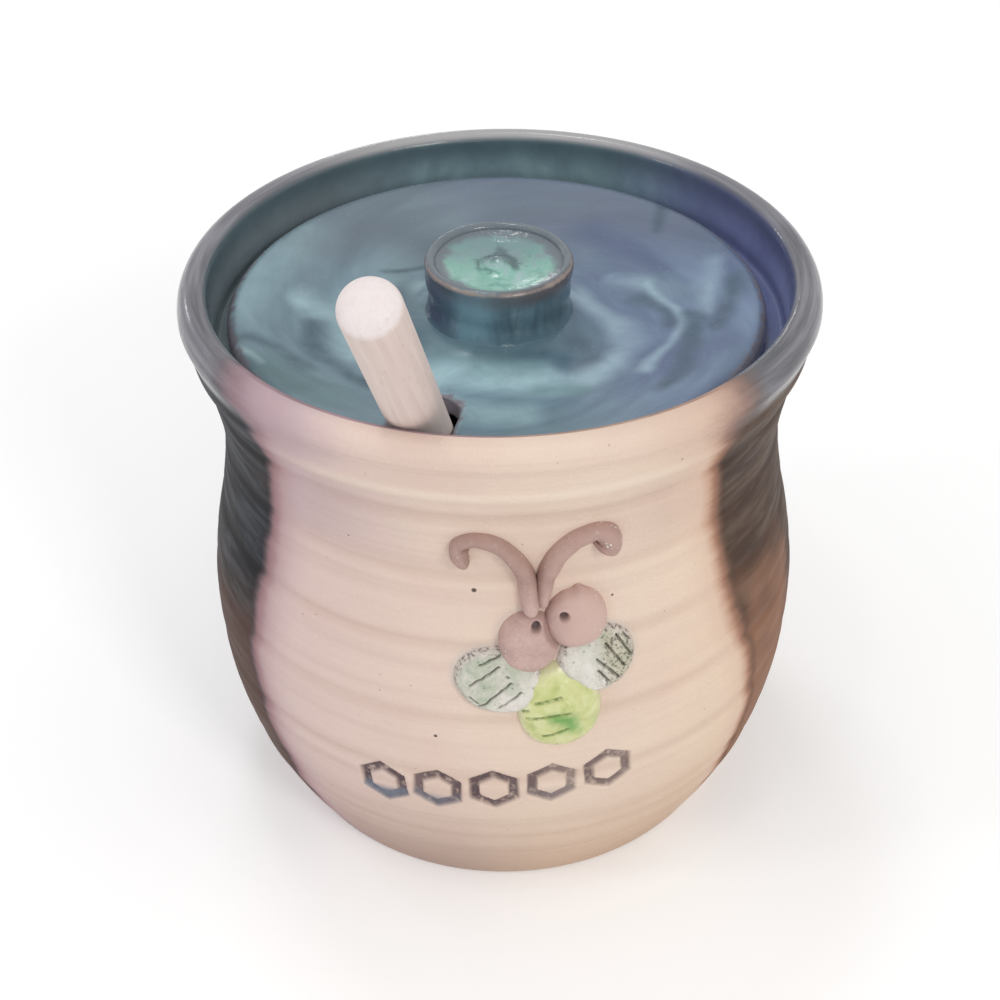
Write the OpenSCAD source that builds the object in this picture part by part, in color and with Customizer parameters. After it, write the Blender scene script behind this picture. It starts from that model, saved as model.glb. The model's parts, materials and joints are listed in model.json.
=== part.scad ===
// Stoneware honey pot with a lift-off sunken lid, a wooden dipper and an applied clay bee.
// The foot stands on z = 0, the pot's axis is the Z axis and the bee faces -Y.

/* [Pot] */
// Height from the foot to the crest of the rim
pot_h = 104; // [100:0.5:110]
// Radius of the flat foot
foot_r = 41; // [38:0.5:42]
// Bevel between the foot and the wall
foot_bevel = 1.5; // [1:0.25:2.5]
// Radius of the body at its widest
belly_r = 53.4; // [52.4:0.1:56]
// Height of the widest part of the body
belly_z = 42; // [38:0.5:46]
// Fullness of the curve from the foot to the belly
belly_fullness = 2.3; // [1.8:0.1:3]
// Radius of the narrow neck
neck_r = 48.9; // [48.4:0.1:50]
// Height at which the neck starts to flare
neck_z = 77; // [74:0.5:79]
// Height at which the flare would turn if it were sharp
flare_z = 85; // [83:0.5:87]
// Radius of the lip at its widest
lip_r = 54.4; // [53.6:0.1:56]
// Thickness of the wall
wall = 4.7; // [4:0.1:5]
// Thickness of the floor
floor_t = 5.4; // [4.5:0.1:9]
// Radius of the curve from the floor into the wall
floor_fillet = 9; // [5:0.5:14]

/* [Rim and gallery] */
// Width of the rounded outer half of the lip
lip_out = 3.1; // [2.4:0.1:3.6]
// Height of the rounded outer half of the lip
lip_rise = 4; // [3:0.25:5]
// Rounding of the lip's inner edge
lip_in = 2; // [1.5:0.1:2.2]
// Distance from the crest in to the wall that stands round the lid
gallery_inset = 2.7; // [2.4:0.1:3]
// Depth of the ledge below the crest
gallery_drop = 10.8; // [9:0.2:13]
// Width of the ledge
ledge_w = 5; // [4.6:0.1:5.6]
// Thickness of the ledge at its inner edge
ledge_t = 3; // [2:0.25:4]
// Height over which the ledge's underside slopes back into the wall
ledge_slope = 4; // [2:0.5:6]

/* [Throwing rings] */
// Depth of the raised band below the crest
band_depth = 10; // [9:0.5:11]
// Depth of the groove that closes the collar
groove_depth = 15.4; // [14.5:0.2:16]
// Depth of the first body ring
ring_start = 28; // [26:0.5:30]
// Distance from one body ring to the next
ring_pitch = 13.5; // [12:0.5:14]
// Number of body rings
ring_count = 5; // [1:1:5]
// Height of the raised band and depth of the collar groove
collar_relief = 0.4; // [0.1:0.05:0.6]
// Depth of the body rings
ring_relief = 0.25; // [0.1:0.05:0.4]
// Half width of a ring
ring_w = 1.4; // [1:0.1:2]

/* [Lid] */
// Gap between the lid's edge and the wall round it
lid_gap = 2; // [1.4:0.1:2.4]
// Sideways rest position of the lid in its gallery
lid_shift = -1; // [-1:0.1:1]
// Thickness of the lid at its edge
lid_edge_t = 4.4; // [3.8:0.1:5.2]
// Depth of the lid's dished top
lid_dish = 2.9; // [1.5:0.1:3.4]
// Drop of the lid's belly below its seat
lid_belly = 2.8; // [2:0.1:3.5]
// Sideways play between the lid's belly and the ledge
lid_play = 1.6; // [1.2:0.1:2]
// Width of the notch for the dipper
notch_w = 12; // [11:0.25:14]
// Room left between the dipper and the blind end of the notch
notch_slack = 1; // [0.6:0.1:2]

/* [Knob] */
// Radius of the knob below its lip
knob_r = 12.6; // [11.5:0.1:14]
// Height of the knob above its seat
knob_h = 11.2; // [9:0.2:14]
// Draw-in of the knob's waist
knob_waist = 0.8; // [0.3:0.1:1.5]
// Radius of the flare where the knob joins the lid
knob_fillet = 2; // [1:0.1:3]
// Rounding of the knob's lip
knob_lip = 1; // [0.6:0.1:1.5]
// Depth of the hollow in the knob's top
knob_dish = 2.2; // [1.5:0.1:3]
// Radius of the nib in the hollow
nib_r = 2.6; // [2:0.1:3.5]
// Height of the nib above the hollow
nib_h = 1.6; // [1:0.1:2]

/* [Dipper] */
// Length of the dipper from end to end
dipper_len = 160; // [150:1:170]
// Diameter of the handle
handle_d = 9.2; // [8:0.1:10]
// Diameter of the grooved head
head_d = 26; // [24:0.5:28]
// Length of the grooved head
head_len = 34; // [30:1:38]
// Number of grooves round the head
groove_count = 6; // [4:1:7]
// Width of a groove
groove_w = 2.5; // [1.5:0.1:3]
// Diameter of the core that the grooves leave
core_d = 14; // [13:0.5:16]
// Depth of the head's socket for the handle
socket_depth = 16; // [10:1:20]
// Play between the handle and its socket
socket_play = 0.1; // [0.05:0.05:0.3]
// Lean of the dipper from upright
dipper_lean = 36.5; // [35:0.5:38]
// Direction of the lean, from the front towards the right
dipper_heading = -9.6; // [-12:0.2:-7]
// Place on the rim where the dipper leans, from the front towards the right
dipper_side = -17.3; // [-19:0.1:-15]
// Air between the dipper and the rim or floor that it rests on
rest_gap = 0.3; // [0.2:0.05:0.6]

/* [Bee] */
// Direction of the bee's middle, from the front towards the right
bee_turn = 9; // [0:0.5:15]
// Depth of the bee's eyes below the crest
bee_depth = 38; // [36:0.5:39]
// Radius of the pressed ball of an eye
eye_r = 5.2; // [4.6:0.1:5.6]
// Height of an eye above the wall
eye_h = 3.8; // [3:0.1:4.6]
// Radius of the hole poked in an eye
pupil_r = 0.9; // [0.6:0.1:1.2]
// Depth of the hole poked in an eye
pupil_depth = 2; // [1:0.1:2.5]
// Half width of an antenna
antenna_w = 1.5; // [1.2:0.1:1.7]
// Height of an antenna above the wall
antenna_h = 2.3; // [1.8:0.1:2.8]
// Height of a wing above the wall
wing_h = 1.9; // [1.4:0.1:2.4]
// Height of the abdomen above the wall
abdomen_h = 3.2; // [2.6:0.1:3.8]
// Air between a clay piece and what it is pressed against
clay_gap = 0.08; // [0.05:0.01:0.15]

/* [Stamped cells] */
// Direction of the middle cell, from the front towards the right
cell_turn = -2.4; // [-6:0.2:6]
// Depth of the middle cell below the crest
cell_mid_depth = 71; // [69:0.5:72]
// Turn round the pot from one cell to the next
cell_pitch = 10.6; // [10.4:0.1:12]
// Rise from one cell to the next
cell_rise = 1.05; // [0:0.05:1.2]
// Number of cells in the row
cell_count = 5; // [1:1:6]
// Radius of a cell from its middle to a corner
cell_r = 4.7; // [4:0.1:4.9]
// Width of the stamped line
cell_line = 1.5; // [1:0.1:2]
// Depth of the stamped line
cell_depth = 0.8; // [0.4:0.1:1.2]

/* [Hidden] */
$fn = 96;

clay = [0.85, 0.74, 0.66];
teal_glaze = [0.36, 0.48, 0.53];
teal_dark = [0.26, 0.36, 0.40];
pale_wood = [0.82, 0.75, 0.70];
brown_clay = [0.66, 0.54, 0.50];
wing_glaze = [0.74, 0.77, 0.70];
lime_glaze = [0.77, 0.81, 0.52];

// Fineness of arcs and of the wall's curve, and how far a cut runs past the solid that it cuts
arc_steps = 8;
wall_step = 1;
end_margin = 0.01;
over = 1;

// Heights and radii that the pot's pieces share
lip_z = pot_h - lip_rise;
ledge_z = pot_h - gallery_drop;
crest_r = lip_r - lip_out;
gallery_r = crest_r - gallery_inset;
ledge_r = gallery_r - ledge_w;
foot_wall_r = foot_r + foot_bevel;

// Outer wall without its rings: full curve to the belly, soft wave to the neck, flare to the lip
function rise_r(z) =
    belly_r - (belly_r - foot_wall_r) * pow(max(belly_z - z, 0) / (belly_z - foot_bevel), belly_fullness);
function wave_r(z) =
    neck_r + (belly_r - neck_r) * (1 + cos(180 * (z - belly_z) / (neck_z - belly_z))) / 2;
flare_lead = 2 * (flare_z - neck_z);
flare_bend = lip_z - 2 * flare_z + neck_z;
function flare_t(z) =
    2 * (z - neck_z) / (flare_lead + sqrt(pow(flare_lead, 2) + 4 * flare_bend * (z - neck_z)));
function flare_r(z) = neck_r + (lip_r - neck_r) * pow(flare_t(z), 2);
function smooth_r(z) = z < belly_z ? rise_r(z) : z < neck_z ? wave_r(z) : flare_r(z);

// Raised band, collar groove and body rings, each a soft bump on the wall
function bump(z, depth) = exp(-pow((pot_h - z - depth) / ring_w, 2));
function body_rings(z, i = 0) =
    i >= ring_count ? 0 : bump(z, ring_start + i * ring_pitch) + body_rings(z, i + 1);
function relief(z) =
    collar_relief * (bump(z, band_depth) - bump(z, groove_depth)) - ring_relief * body_rings(z);
function outer_r(z) = smooth_r(z) + relief(z);

// Inner wall, with the curve that starts it from the floor
inner_foot_r = smooth_r(floor_t + floor_fillet) - wall;
ledge_under_z = ledge_z - ledge_t;
ledge_root_z = ledge_under_z - ledge_slope;
function inner_r(z) = smooth_r(z) - wall;

wall_points = [for (z = [foot_bevel : wall_step : lip_z - end_margin]) [outer_r(z), z]];
lip_outer = [for (i = [0 : arc_steps]) let (a = 90 * i / arc_steps)
    [crest_r + (lip_r - crest_r) * cos(a), lip_z + lip_rise * sin(a)]];
lip_inner = [for (i = [1 : arc_steps]) let (a = 90 * i / arc_steps)
    [crest_r - lip_in * sin(a), pot_h - lip_in * (1 - cos(a))]];
inner_points = [for (z = [ledge_root_z : -2 * wall_step : floor_t + floor_fillet + end_margin])
    [inner_r(z), z]];
fillet_points = [for (i = [0 : arc_steps]) let (a = 90 * i / arc_steps)
    [inner_foot_r - floor_fillet * (1 - cos(a)), floor_t + floor_fillet * (1 - sin(a))]];

pot_profile = concat([[0, 0], [foot_r, 0]], wall_points, lip_outer, lip_inner,
    [[gallery_r, ledge_z], [ledge_r, ledge_z], [ledge_r, ledge_under_z]],
    inner_points, fillet_points, [[0, floor_t]]);

// Lid: radii, heights and profile
lid_r = gallery_r - lid_gap;
lid_top_z = ledge_z + lid_edge_t;
seat_margin = 0.6;
knob_seat_r = knob_r - knob_waist + knob_fillet + seat_margin;
knob_seat_z = lid_top_z - lid_dish;
lid_seat_r = ledge_r - lid_play;
lid_round = lid_edge_t / 2;
dish_r = lid_r - lid_round;
dish_steps = 12;
dish_power = 1.8;

function dish_z(r) = knob_seat_z + lid_dish * pow((r - knob_seat_r) / (dish_r - knob_seat_r), dish_power);
function belly_drop(r) = lid_belly * (1 - pow(r / lid_seat_r, 2));
lid_under = [for (i = [0 : dish_steps]) let (r = lid_seat_r * i / dish_steps) [r, ledge_z - belly_drop(r)]];
lid_edge = [for (i = [0 : 2 * arc_steps]) let (a = 90 * i / arc_steps - 90)
    [dish_r + lid_round * cos(a), ledge_z + lid_round * (1 + sin(a))]];
lid_top = [for (i = [1 : dish_steps]) let (r = dish_r + (knob_seat_r - dish_r) * i / dish_steps)
    [r, dish_z(r)]];
lid_profile = concat(lid_under, lid_edge, lid_top, [[0, knob_seat_z]]);

// Knob profile above its seat
waist_r = knob_r - knob_waist;
knob_dish_r = knob_r - 2 * knob_lip;
knob_steps = 8;
knob_flare = [for (i = [0 : arc_steps]) let (a = 90 * i / arc_steps)
    [waist_r + knob_fillet * (1 - sin(a)), knob_fillet * (1 - cos(a))]];
knob_side = [for (i = [1 : knob_steps]) let (t = i / knob_steps)
    [waist_r + knob_waist * (1 - cos(180 * t)) / 2, knob_fillet + (knob_h - knob_lip - knob_fillet) * t]];
knob_crown = [for (i = [1 : 2 * arc_steps]) let (a = 90 * i / arc_steps)
    [knob_r - knob_lip * (1 - cos(a)), knob_h - knob_lip * (1 - sin(a))]];
knob_bowl = [for (i = [1 : knob_steps]) let (t = i / knob_steps)
    [knob_dish_r + (nib_r - knob_dish_r) * t, knob_h - knob_lip - (knob_dish - knob_lip) * sin(90 * t)]];
knob_nib = [for (i = [1 : arc_steps]) let (a = 90 * i / arc_steps)
    [nib_r * cos(a), knob_h - knob_dish + nib_h * sin(a)]];
knob_profile = concat([[0, 0]], knob_flare, knob_side, knob_crown, knob_bowl, knob_nib);

// Dipper: barrel-shaped ribs with grooves between them, drawn from the head's lower end upwards
handle_r = handle_d / 2;
core_r = core_d / 2;
barrel_reach = 0.62 * head_len;
function barrel_r(s) = head_d / 2 * sqrt(1 - pow((s - head_len / 2) / barrel_reach, 2));
rib_w = (head_len - groove_count * groove_w) / (groove_count + 1);
rib_steps = 3;
function rib(i) = let (start = i * (rib_w + groove_w)) concat(
    i == 0 ? [] : [[core_r, start]],
    [for (k = [0 : rib_steps]) let (s = start + rib_w * k / rib_steps) [barrel_r(s), s]],
    i == groove_count ? [] : [[core_r, start + rib_w]]);
head_profile = concat([[0, 0]], [for (i = [0 : groove_count]) each rib(i)], [[0, head_len]]);

// The dipper's axis passes the rim's inner rounding and its head rests on the floor
rim_lean = atan(tan(dipper_lean) * cos(dipper_heading - dipper_side));
rim_reach = handle_r + lip_in + rest_gap;
rim_axis_r = crest_r - rim_reach * cos(rim_lean);
rim_axis_z = pot_h - lip_in + rim_reach * sin(rim_lean);
rim_axis = [rim_axis_r * sin(dipper_side), -rim_axis_r * cos(dipper_side), rim_axis_z];
dipper_dir = [sin(dipper_lean) * sin(dipper_heading),
              -sin(dipper_lean) * cos(dipper_heading),
              cos(dipper_lean)];
head_reach = min([for (p = head_profile) p[1] * cos(dipper_lean) - p[0] * sin(dipper_lean)]);
dipper_end_z = floor_t + rest_gap - head_reach;
dipper_end = rim_axis - dipper_dir * (rim_axis_z - dipper_end_z) / cos(dipper_lean);

// Blind end of the lid's notch, under the handle where it passes the lid's lower face
notch_z = ledge_z - lid_belly;
notch_cross = dipper_end + dipper_dir * (notch_z - dipper_end_z) / cos(dipper_lean);
notch_reach = handle_r / cos(dipper_lean) + notch_slack - notch_w / 2;

// Places on the wall: turn from the front towards the right, and height
function on_wall(turn, z, lift) = let (r = outer_r(z) + lift) [r * sin(turn), -r * cos(turn), z];
function wall_tilt(z) = atan((smooth_r(z - 1) - smooth_r(z + 1)) / 2);

module at_wall(turn, z) {
    rotate([0, 0, turn - 90])
        translate([smooth_r(z), 0, z])
            rotate([0, -wall_tilt(z), 0])
                rotate([90, 0, 90])
                    children();
}

// Places in the bee: distance to the right of its middle and above its eyes, measured along the wall
function bee_turn_at(p) = bee_turn + p[0] / belly_r * 180 / PI;
function bee_z_at(p) = pot_h - bee_depth + p[1];
function on_bee(p, lift) = on_wall(bee_turn_at(p), bee_z_at(p), lift);

// Outlines of the bee's pieces: middle, half width and half height, lean and taper
eye_left = [[-3.6, -1.7], [eye_r, eye_r], 0, 0];
eye_right = [[4.7, 2.3], [eye_r, eye_r], 0, 0];
abdomen = [[1.1, -14.5], [7.4, 9.4], 8, -0.14];
wing_left = [[-9.3, -9], [7, 5.6], -14, 0];
wing_right = [[9, -7], [6.4, 5.4], 8, 0];

// How far a line from place o along u runs before it meets another piece's outline
function in_outline(v, k) = [(v[0] * cos(k[2]) + v[1] * sin(k[2])) / (k[1][0] + clay_gap),
                             (v[1] * cos(k[2]) - v[0] * sin(k[2])) / (k[1][1] + clay_gap)];
function run_to(o, u, k) =
    let (p = in_outline(o - k[0], k), d = in_outline(u, k), b = p * d, root = b * b - (d * d) * (p * p - 1))
    root < 0 || b > 0 ? 4 * belly_r : (-b - sqrt(root)) / (d * d);

// Edge of a piece's outline at an angle, drawn back where a neighbour lies over it
function full_edge(k, a) = let (x = k[1][0] * (1 + k[3] * sin(a)) * cos(a), y = k[1][1] * sin(a))
    [x * cos(k[2]) - y * sin(k[2]), x * sin(k[2]) + y * cos(k[2])];
function cut_edge(k, a, covers) = let (edge = full_edge(k, a), u = edge / norm(edge))
    u * min(concat([norm(edge)], [for (n = covers) run_to(k[0], u, n)]));

// Walls of a stack of closed rings of points
function skin(rings, sides) = [for (i = [0 : rings - 2], j = [0 : sides - 1])
    let (k = (j + 1) % sides)
    each [[i * sides + j, i * sides + k, (i + 1) * sides + k],
          [i * sides + j, (i + 1) * sides + k, (i + 1) * sides + j]]];

// A lump of clay pressed on the wall: domed from its edge to its height, hollowed behind to the wall
lump_rings = 5;
lump_sides = 32;

module lump(k, covers, height) {
    edge = [for (j = [0 : lump_sides - 1]) cut_edge(k, 360 * j / lump_sides, covers)];
    share = [for (i = [1 : lump_rings]) sin(90 * i / lump_rings)];
    dome = [for (i = [1 : lump_rings]) clay_gap + (height - clay_gap) * cos(90 * i / lump_rings)];
    rings = concat(
        [for (i = [0 : lump_rings - 1]) [for (e = edge) on_bee(k[0] + e * share[i], clay_gap)]],
        [for (i = [lump_rings - 2 : -1 : 0]) [for (e = edge) on_bee(k[0] + e * share[i], dome[i])]]);
    count = len(rings);
    last = (count - 1) * lump_sides;
    points = concat([for (ring = rings) each ring], [on_bee(k[0], clay_gap), on_bee(k[0], height)]);
    faces = concat(skin(count, lump_sides),
        [for (j = [0 : lump_sides - 1]) [count * lump_sides, (j + 1) % lump_sides, j]],
        [for (j = [0 : lump_sides - 1]) [count * lump_sides + 1, last + j, last + (j + 1) % lump_sides]]);
    polyhedron(points, faces, convexity = 4);
}

// A half-round coil of clay laid on the wall along a smooth route: it grows from a narrow start
// over the length of its wedge, and thins towards its curled end
coil_steps = 4;
coil_arc = 7;
coil_back = 4;
coil_thinning = 0.25;
coil_end = 0.45;
left_wedge = 0.5;
right_wedge = 1.75;
antenna_left_route = [[-4, 3.9], [-4.2, 7.5], [-5, 12], [-8.4, 16.6],
                      [-12.6, 18.5], [-15.9, 17.3], [-15.6, 14.2], [-13.8, 14.4]];
antenna_right_route = [[-1.7, 4.6], [-1.2, 8], [-0.5, 11.8], [2.2, 15.6],
                       [6.6, 18.1], [10.6, 17.4], [10.8, 14.4], [8.7, 14]];

function spline(a, b, c, d, t) =
    0.5 * (2 * b + (c - a) * t + (2 * a - 5 * b + 4 * c - d) * t * t + (3 * b - a - 3 * c + d) * t * t * t);
function route_at(p, t) = let (n = len(p) - 1, i = min(floor(t), n - 1))
    spline(p[max(i - 1, 0)], p[i], p[i + 1], p[min(i + 2, n)], t - i);
function unit(v) = v / norm(v);
coil_section = concat([for (j = [0 : coil_arc]) let (a = 180 * j / coil_arc) [cos(a), sin(a)]],
    [for (j = [1 : coil_back - 1]) [2 * j / coil_back - 1, 0]]);
coil_sides = len(coil_section);
function coil_ring(route, t, slim) =
    let (here = route_at(route, t),
         run = unit(route_at(route, min(t + 0.1, len(route) - 1)) - route_at(route, max(t - 0.1, 0))),
         side = [run[1], -run[0]] * antenna_w * slim)
    [for (p = coil_section) on_bee(here + side * p[0], clay_gap + antenna_h * slim * p[1])];

module coil(route, wedge) {
    last = len(route) - 1;
    count = last * coil_steps + 1;
    rings = [for (i = [0 : count - 1])
        let (t = i / coil_steps, grown = coil_end + (1 - coil_end) * min(t / wedge, 1))
        coil_ring(route, t, (1 - coil_thinning * t / last) * (i == count - 1 ? coil_end : grown))];
    points = [for (ring = rings) each ring];
    faces = concat(skin(count, coil_sides),
        [[for (j = [coil_sides - 1 : -1 : 0]) j]],
        [[for (j = [0 : coil_sides - 1]) (count - 1) * coil_sides + j]]);
    polyhedron(points, faces, convexity = 6);
}

module pupil(p) {
    at_wall(bee_turn_at(p), bee_z_at(p))
        translate([0, 0, eye_h - pupil_depth])
            cylinder(h = pupil_depth + over, r = pupil_r, $fn = 24);
}

module cell_groove() {
    translate([0, 0, -cell_depth])
        linear_extrude(height = cell_depth + 2 * over)
            rotate(30)
                difference() {
                    circle(r = cell_r, $fn = 6);
                    circle(r = cell_r - cell_line / cos(30), $fn = 6);
                }
}

module pot_body() {
    color(clay)
        difference() {
            rotate_extrude($fn = 180)
                polygon(pot_profile);
            for (i = [0 : cell_count - 1]) {
                step = i - (cell_count - 1) / 2;
                at_wall(cell_turn + step * cell_pitch, pot_h - cell_mid_depth + step * cell_rise)
                    cell_groove();
            }
        }
}

module lid_disc() {
    color(teal_glaze)
        difference() {
            translate([lid_shift, 0, 0])
                rotate_extrude($fn = 180)
                    polygon(lid_profile);
            translate([notch_cross[0], notch_cross[1], notch_z - over])
                rotate([0, 0, dipper_heading])
                    linear_extrude(height = lid_edge_t + lid_belly + 2 * over)
                        union() {
                            translate([0, notch_reach])
                                circle(d = notch_w);
                            translate([-notch_w / 2, notch_reach - lid_r])
                                square([notch_w, lid_r]);
                        }
        }
}

module lid_knob() {
    color(teal_dark)
        translate([lid_shift, 0, knob_seat_z])
            rotate_extrude()
                polygon(knob_profile);
}

module at_dipper() {
    translate(dipper_end)
        rotate([0, 0, dipper_heading])
            rotate([dipper_lean, 0, 0])
                children();
}

module dipper_handle() {
    color(pale_wood)
        at_dipper() {
            translate([0, 0, head_len - socket_depth + socket_play])
                cylinder(h = dipper_len - handle_r - head_len + socket_depth - socket_play, r = handle_r);
            translate([0, 0, dipper_len - handle_r])
                sphere(r = handle_r);
        }
}

module dipper_head() {
    color(pale_wood)
        at_dipper()
            difference() {
                rotate_extrude()
                    polygon(head_profile);
                translate([0, 0, head_len - socket_depth])
                    cylinder(h = socket_depth + over, r = handle_r + socket_play);
            }
}

module bee_eye_left() {
    color(brown_clay)
        difference() {
            lump(eye_left, [eye_right], eye_h);
            pupil([-2, 0.7]);
        }
}

module bee_eye_right() {
    color(brown_clay)
        difference() {
            lump(eye_right, [], eye_h);
            pupil([2.8, 1.8]);
        }
}

module bee_antenna_left() {
    color(brown_clay)
        coil(antenna_left_route, left_wedge);
}

module bee_antenna_right() {
    color(brown_clay)
        coil(antenna_right_route, right_wedge);
}

module bee_wing_left() {
    color(wing_glaze)
        lump(wing_left, [eye_left, abdomen], wing_h);
}

module bee_wing_right() {
    color(wing_glaze)
        lump(wing_right, [eye_right, abdomen], wing_h);
}

module bee_abdomen() {
    color(lime_glaze)
        lump(abdomen, [eye_left, eye_right], abdomen_h);
}

pot_body();
lid_disc();
lid_knob();
dipper_handle();
dipper_head();
bee_eye_left();
bee_eye_right();
bee_antenna_left();
bee_antenna_right();
bee_wing_left();
bee_wing_right();
bee_abdomen();
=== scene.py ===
"""Looks of a thrown stoneware honey pot: bare clay front, dipped glaze, sunken lid, dipper and clay bee."""
import json
import math

import bpy
import numpy as np
from mathutils import Matrix, Vector


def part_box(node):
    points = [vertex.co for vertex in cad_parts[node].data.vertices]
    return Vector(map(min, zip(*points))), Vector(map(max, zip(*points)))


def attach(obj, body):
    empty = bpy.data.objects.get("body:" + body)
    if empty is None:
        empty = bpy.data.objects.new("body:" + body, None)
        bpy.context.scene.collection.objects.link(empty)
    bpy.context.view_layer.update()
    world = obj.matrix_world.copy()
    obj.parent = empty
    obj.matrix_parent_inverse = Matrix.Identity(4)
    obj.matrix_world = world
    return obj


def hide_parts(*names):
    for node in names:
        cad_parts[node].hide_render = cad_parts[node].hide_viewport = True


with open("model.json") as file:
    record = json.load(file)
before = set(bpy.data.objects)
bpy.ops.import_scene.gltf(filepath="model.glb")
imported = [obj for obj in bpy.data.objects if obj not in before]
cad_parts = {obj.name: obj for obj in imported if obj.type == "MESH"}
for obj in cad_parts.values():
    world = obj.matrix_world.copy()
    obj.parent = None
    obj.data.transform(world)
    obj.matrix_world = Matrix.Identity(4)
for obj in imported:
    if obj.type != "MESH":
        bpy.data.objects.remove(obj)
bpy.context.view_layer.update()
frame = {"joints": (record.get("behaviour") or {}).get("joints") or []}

# Sizes below are in millimetres, turns in degrees from the front towards the right
MM = 0.001
POT_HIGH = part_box("pot_body")[1] / MM
LID_LOW, LID_HIGH = (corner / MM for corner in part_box("lid_disc"))
KNOB_LOW, KNOB_HIGH = (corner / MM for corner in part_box("lid_knob"))

# The pot's wall, as it was thrown
POT_H = POT_HIGH.z
LIP_R = POT_HIGH.x
FOOT_R, FOOT_BEVEL = 41.0, 1.5
BELLY_R, BELLY_Z, BELLY_FULLNESS = 53.4, 42.0, 2.3
NECK_R, NECK_Z, FLARE_Z = 48.9, 77.0, 85.0
WALL, FLOOR_T, FLOOR_FILLET = 4.7, 5.4, 9.0
LIP_OUT, LIP_RISE, LIP_IN = 3.1, 4.0, 2.0
GALLERY_INSET, GALLERY_DROP = 2.7, 10.8
LEDGE_W, LEDGE_T, LEDGE_SLOPE = 5.0, 3.0, 4.0
BAND_DEPTH, GROOVE_DEPTH, COLLAR_RELIEF = 10.0, 15.4, 0.4
RING_START, RING_PITCH, RING_COUNT, RING_RELIEF, RING_W = 28.0, 13.5, 5, 0.25, 1.4

LIP_Z = POT_H - LIP_RISE
CREST_R = LIP_R - LIP_OUT
GALLERY_R = CREST_R - GALLERY_INSET
LEDGE_Z = POT_H - GALLERY_DROP
LEDGE_R = GALLERY_R - LEDGE_W

# The stamped cells
CELL_TURN, CELL_DEPTH_DOWN, CELL_PITCH, CELL_RISE, CELL_COUNT = -2.4, 71.0, 10.6, 1.05, 5
CELL_R, CELL_LINE, CELL_PRESS = 4.7, 1.5, 0.75

# The lid and its knob
LID_R = (LID_HIGH.x - LID_LOW.x) / 2 - 0.5
LID_SHIFT = LID_HIGH.x - LID_R
KNOB_SHIFT = LID_SHIFT + 0.4
LID_TOP_Z = LID_HIGH.z
LID_ROUND = (LID_TOP_Z - LEDGE_Z) / 2
LID_DISH_R = LID_R - LID_ROUND
LID_SEAT_R, LID_BELLY, LID_DISH, DISH_POWER = 42.0, 2.8, 2.9, 1.8
KNOB_SEAT_Z = KNOB_LOW.z
KNOB_SEAT_R = 14.4
KNOB_R, KNOB_H, KNOB_WAIST = 12.6, KNOB_HIGH.z - KNOB_LOW.z, 0.5
KNOB_FOOT_R, KNOB_FLARE_H, KNOB_COLLAR = 14.0, 3.6, 1.1
KNOB_LIP, KNOB_DISH, NIB_R, NIB_H = 0.9, 2.2, 3.2, 1.9
NOTCH_W, NOTCH_EDGE, NOTCH_ASIDE = 9.8, 1.0, 0.1

# The dipper, which leans on the rim with its head on the floor of the pot
DIPPER_LEN, HANDLE_R, HEAD_R, HEAD_LEN = 160.0, 4.6, 13.0, 34.0
GROOVE_COUNT, GROOVE_W, CORE_R, SOCKET_DEPTH, SOCKET_GAP = 6, 2.5, 7.0, 16.0, 0.12
CAP_START, CAP_RISE, CAP_BLUNT = 154.6, 3.2, 0.77
DRAW = next(joint for joint in frame["joints"] if joint["name"] == "dipper_draw")
DIPPER_DIR = Vector(DRAW["axis"]).normalized()

# The bee's middle on the wall
BEE_TURN, BEE_DEPTH = 9.0, 38.0


def rgb(red, green, blue):
    """A colour as the eye sees it, 0 to 255 a channel, turned into the shader's linear light."""
    return tuple((c / 255 / 12.92) if c < 11 else ((c / 255 + 0.055) / 1.055) ** 2.4
                 for c in (red, green, blue)) + (1.0,)


def ease(x):
    """A soft step from 0 to 1 while x goes from 0 to 1."""
    x = np.clip(x, 0, 1)
    return x * x * (3 - 2 * x)


# The wall's curves

def smooth_r(z):
    """Radius of the outer wall without its rings."""
    z = np.asarray(z, float)
    foot_wall = FOOT_R + FOOT_BEVEL
    low = np.maximum(BELLY_Z - z, 0) / (BELLY_Z - FOOT_BEVEL)
    rise = BELLY_R - (BELLY_R - foot_wall) * low ** BELLY_FULLNESS
    wave = NECK_R + (BELLY_R - NECK_R) * (1 + np.cos(math.pi * (z - BELLY_Z) / (NECK_Z - BELLY_Z))) / 2
    lead = 2 * (FLARE_Z - NECK_Z)
    bend = LIP_Z - 2 * FLARE_Z + NECK_Z
    up = np.maximum(z - NECK_Z, 0)
    t = 2 * up / (lead + np.sqrt(lead ** 2 + 4 * bend * up))
    flare = NECK_R + (LIP_R - NECK_R) * t ** 2
    return np.where(z < BELLY_Z, rise, np.where(z < NECK_Z, wave, flare))


def bump(z, depth, width=RING_W):
    return np.exp(-((POT_H - z - depth) / width) ** 2)


def relief(z):
    rings = sum(bump(z, RING_START + i * RING_PITCH) for i in range(RING_COUNT))
    return COLLAR_RELIEF * (bump(z, BAND_DEPTH) - bump(z, GROOVE_DEPTH)) - RING_RELIEF * rings


def outer_r(z):
    return smooth_r(z) + relief(z)


FINGER_MARKS = 36
# Deeper rings near the foot: depth below the crest, width, height
FOOT_RINGS = [(82.5, 1.1, 0.14), (85.6, 0.9, -0.2), (89.0, 1.0, 0.14), (92.0, 0.8, -0.18)]


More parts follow.
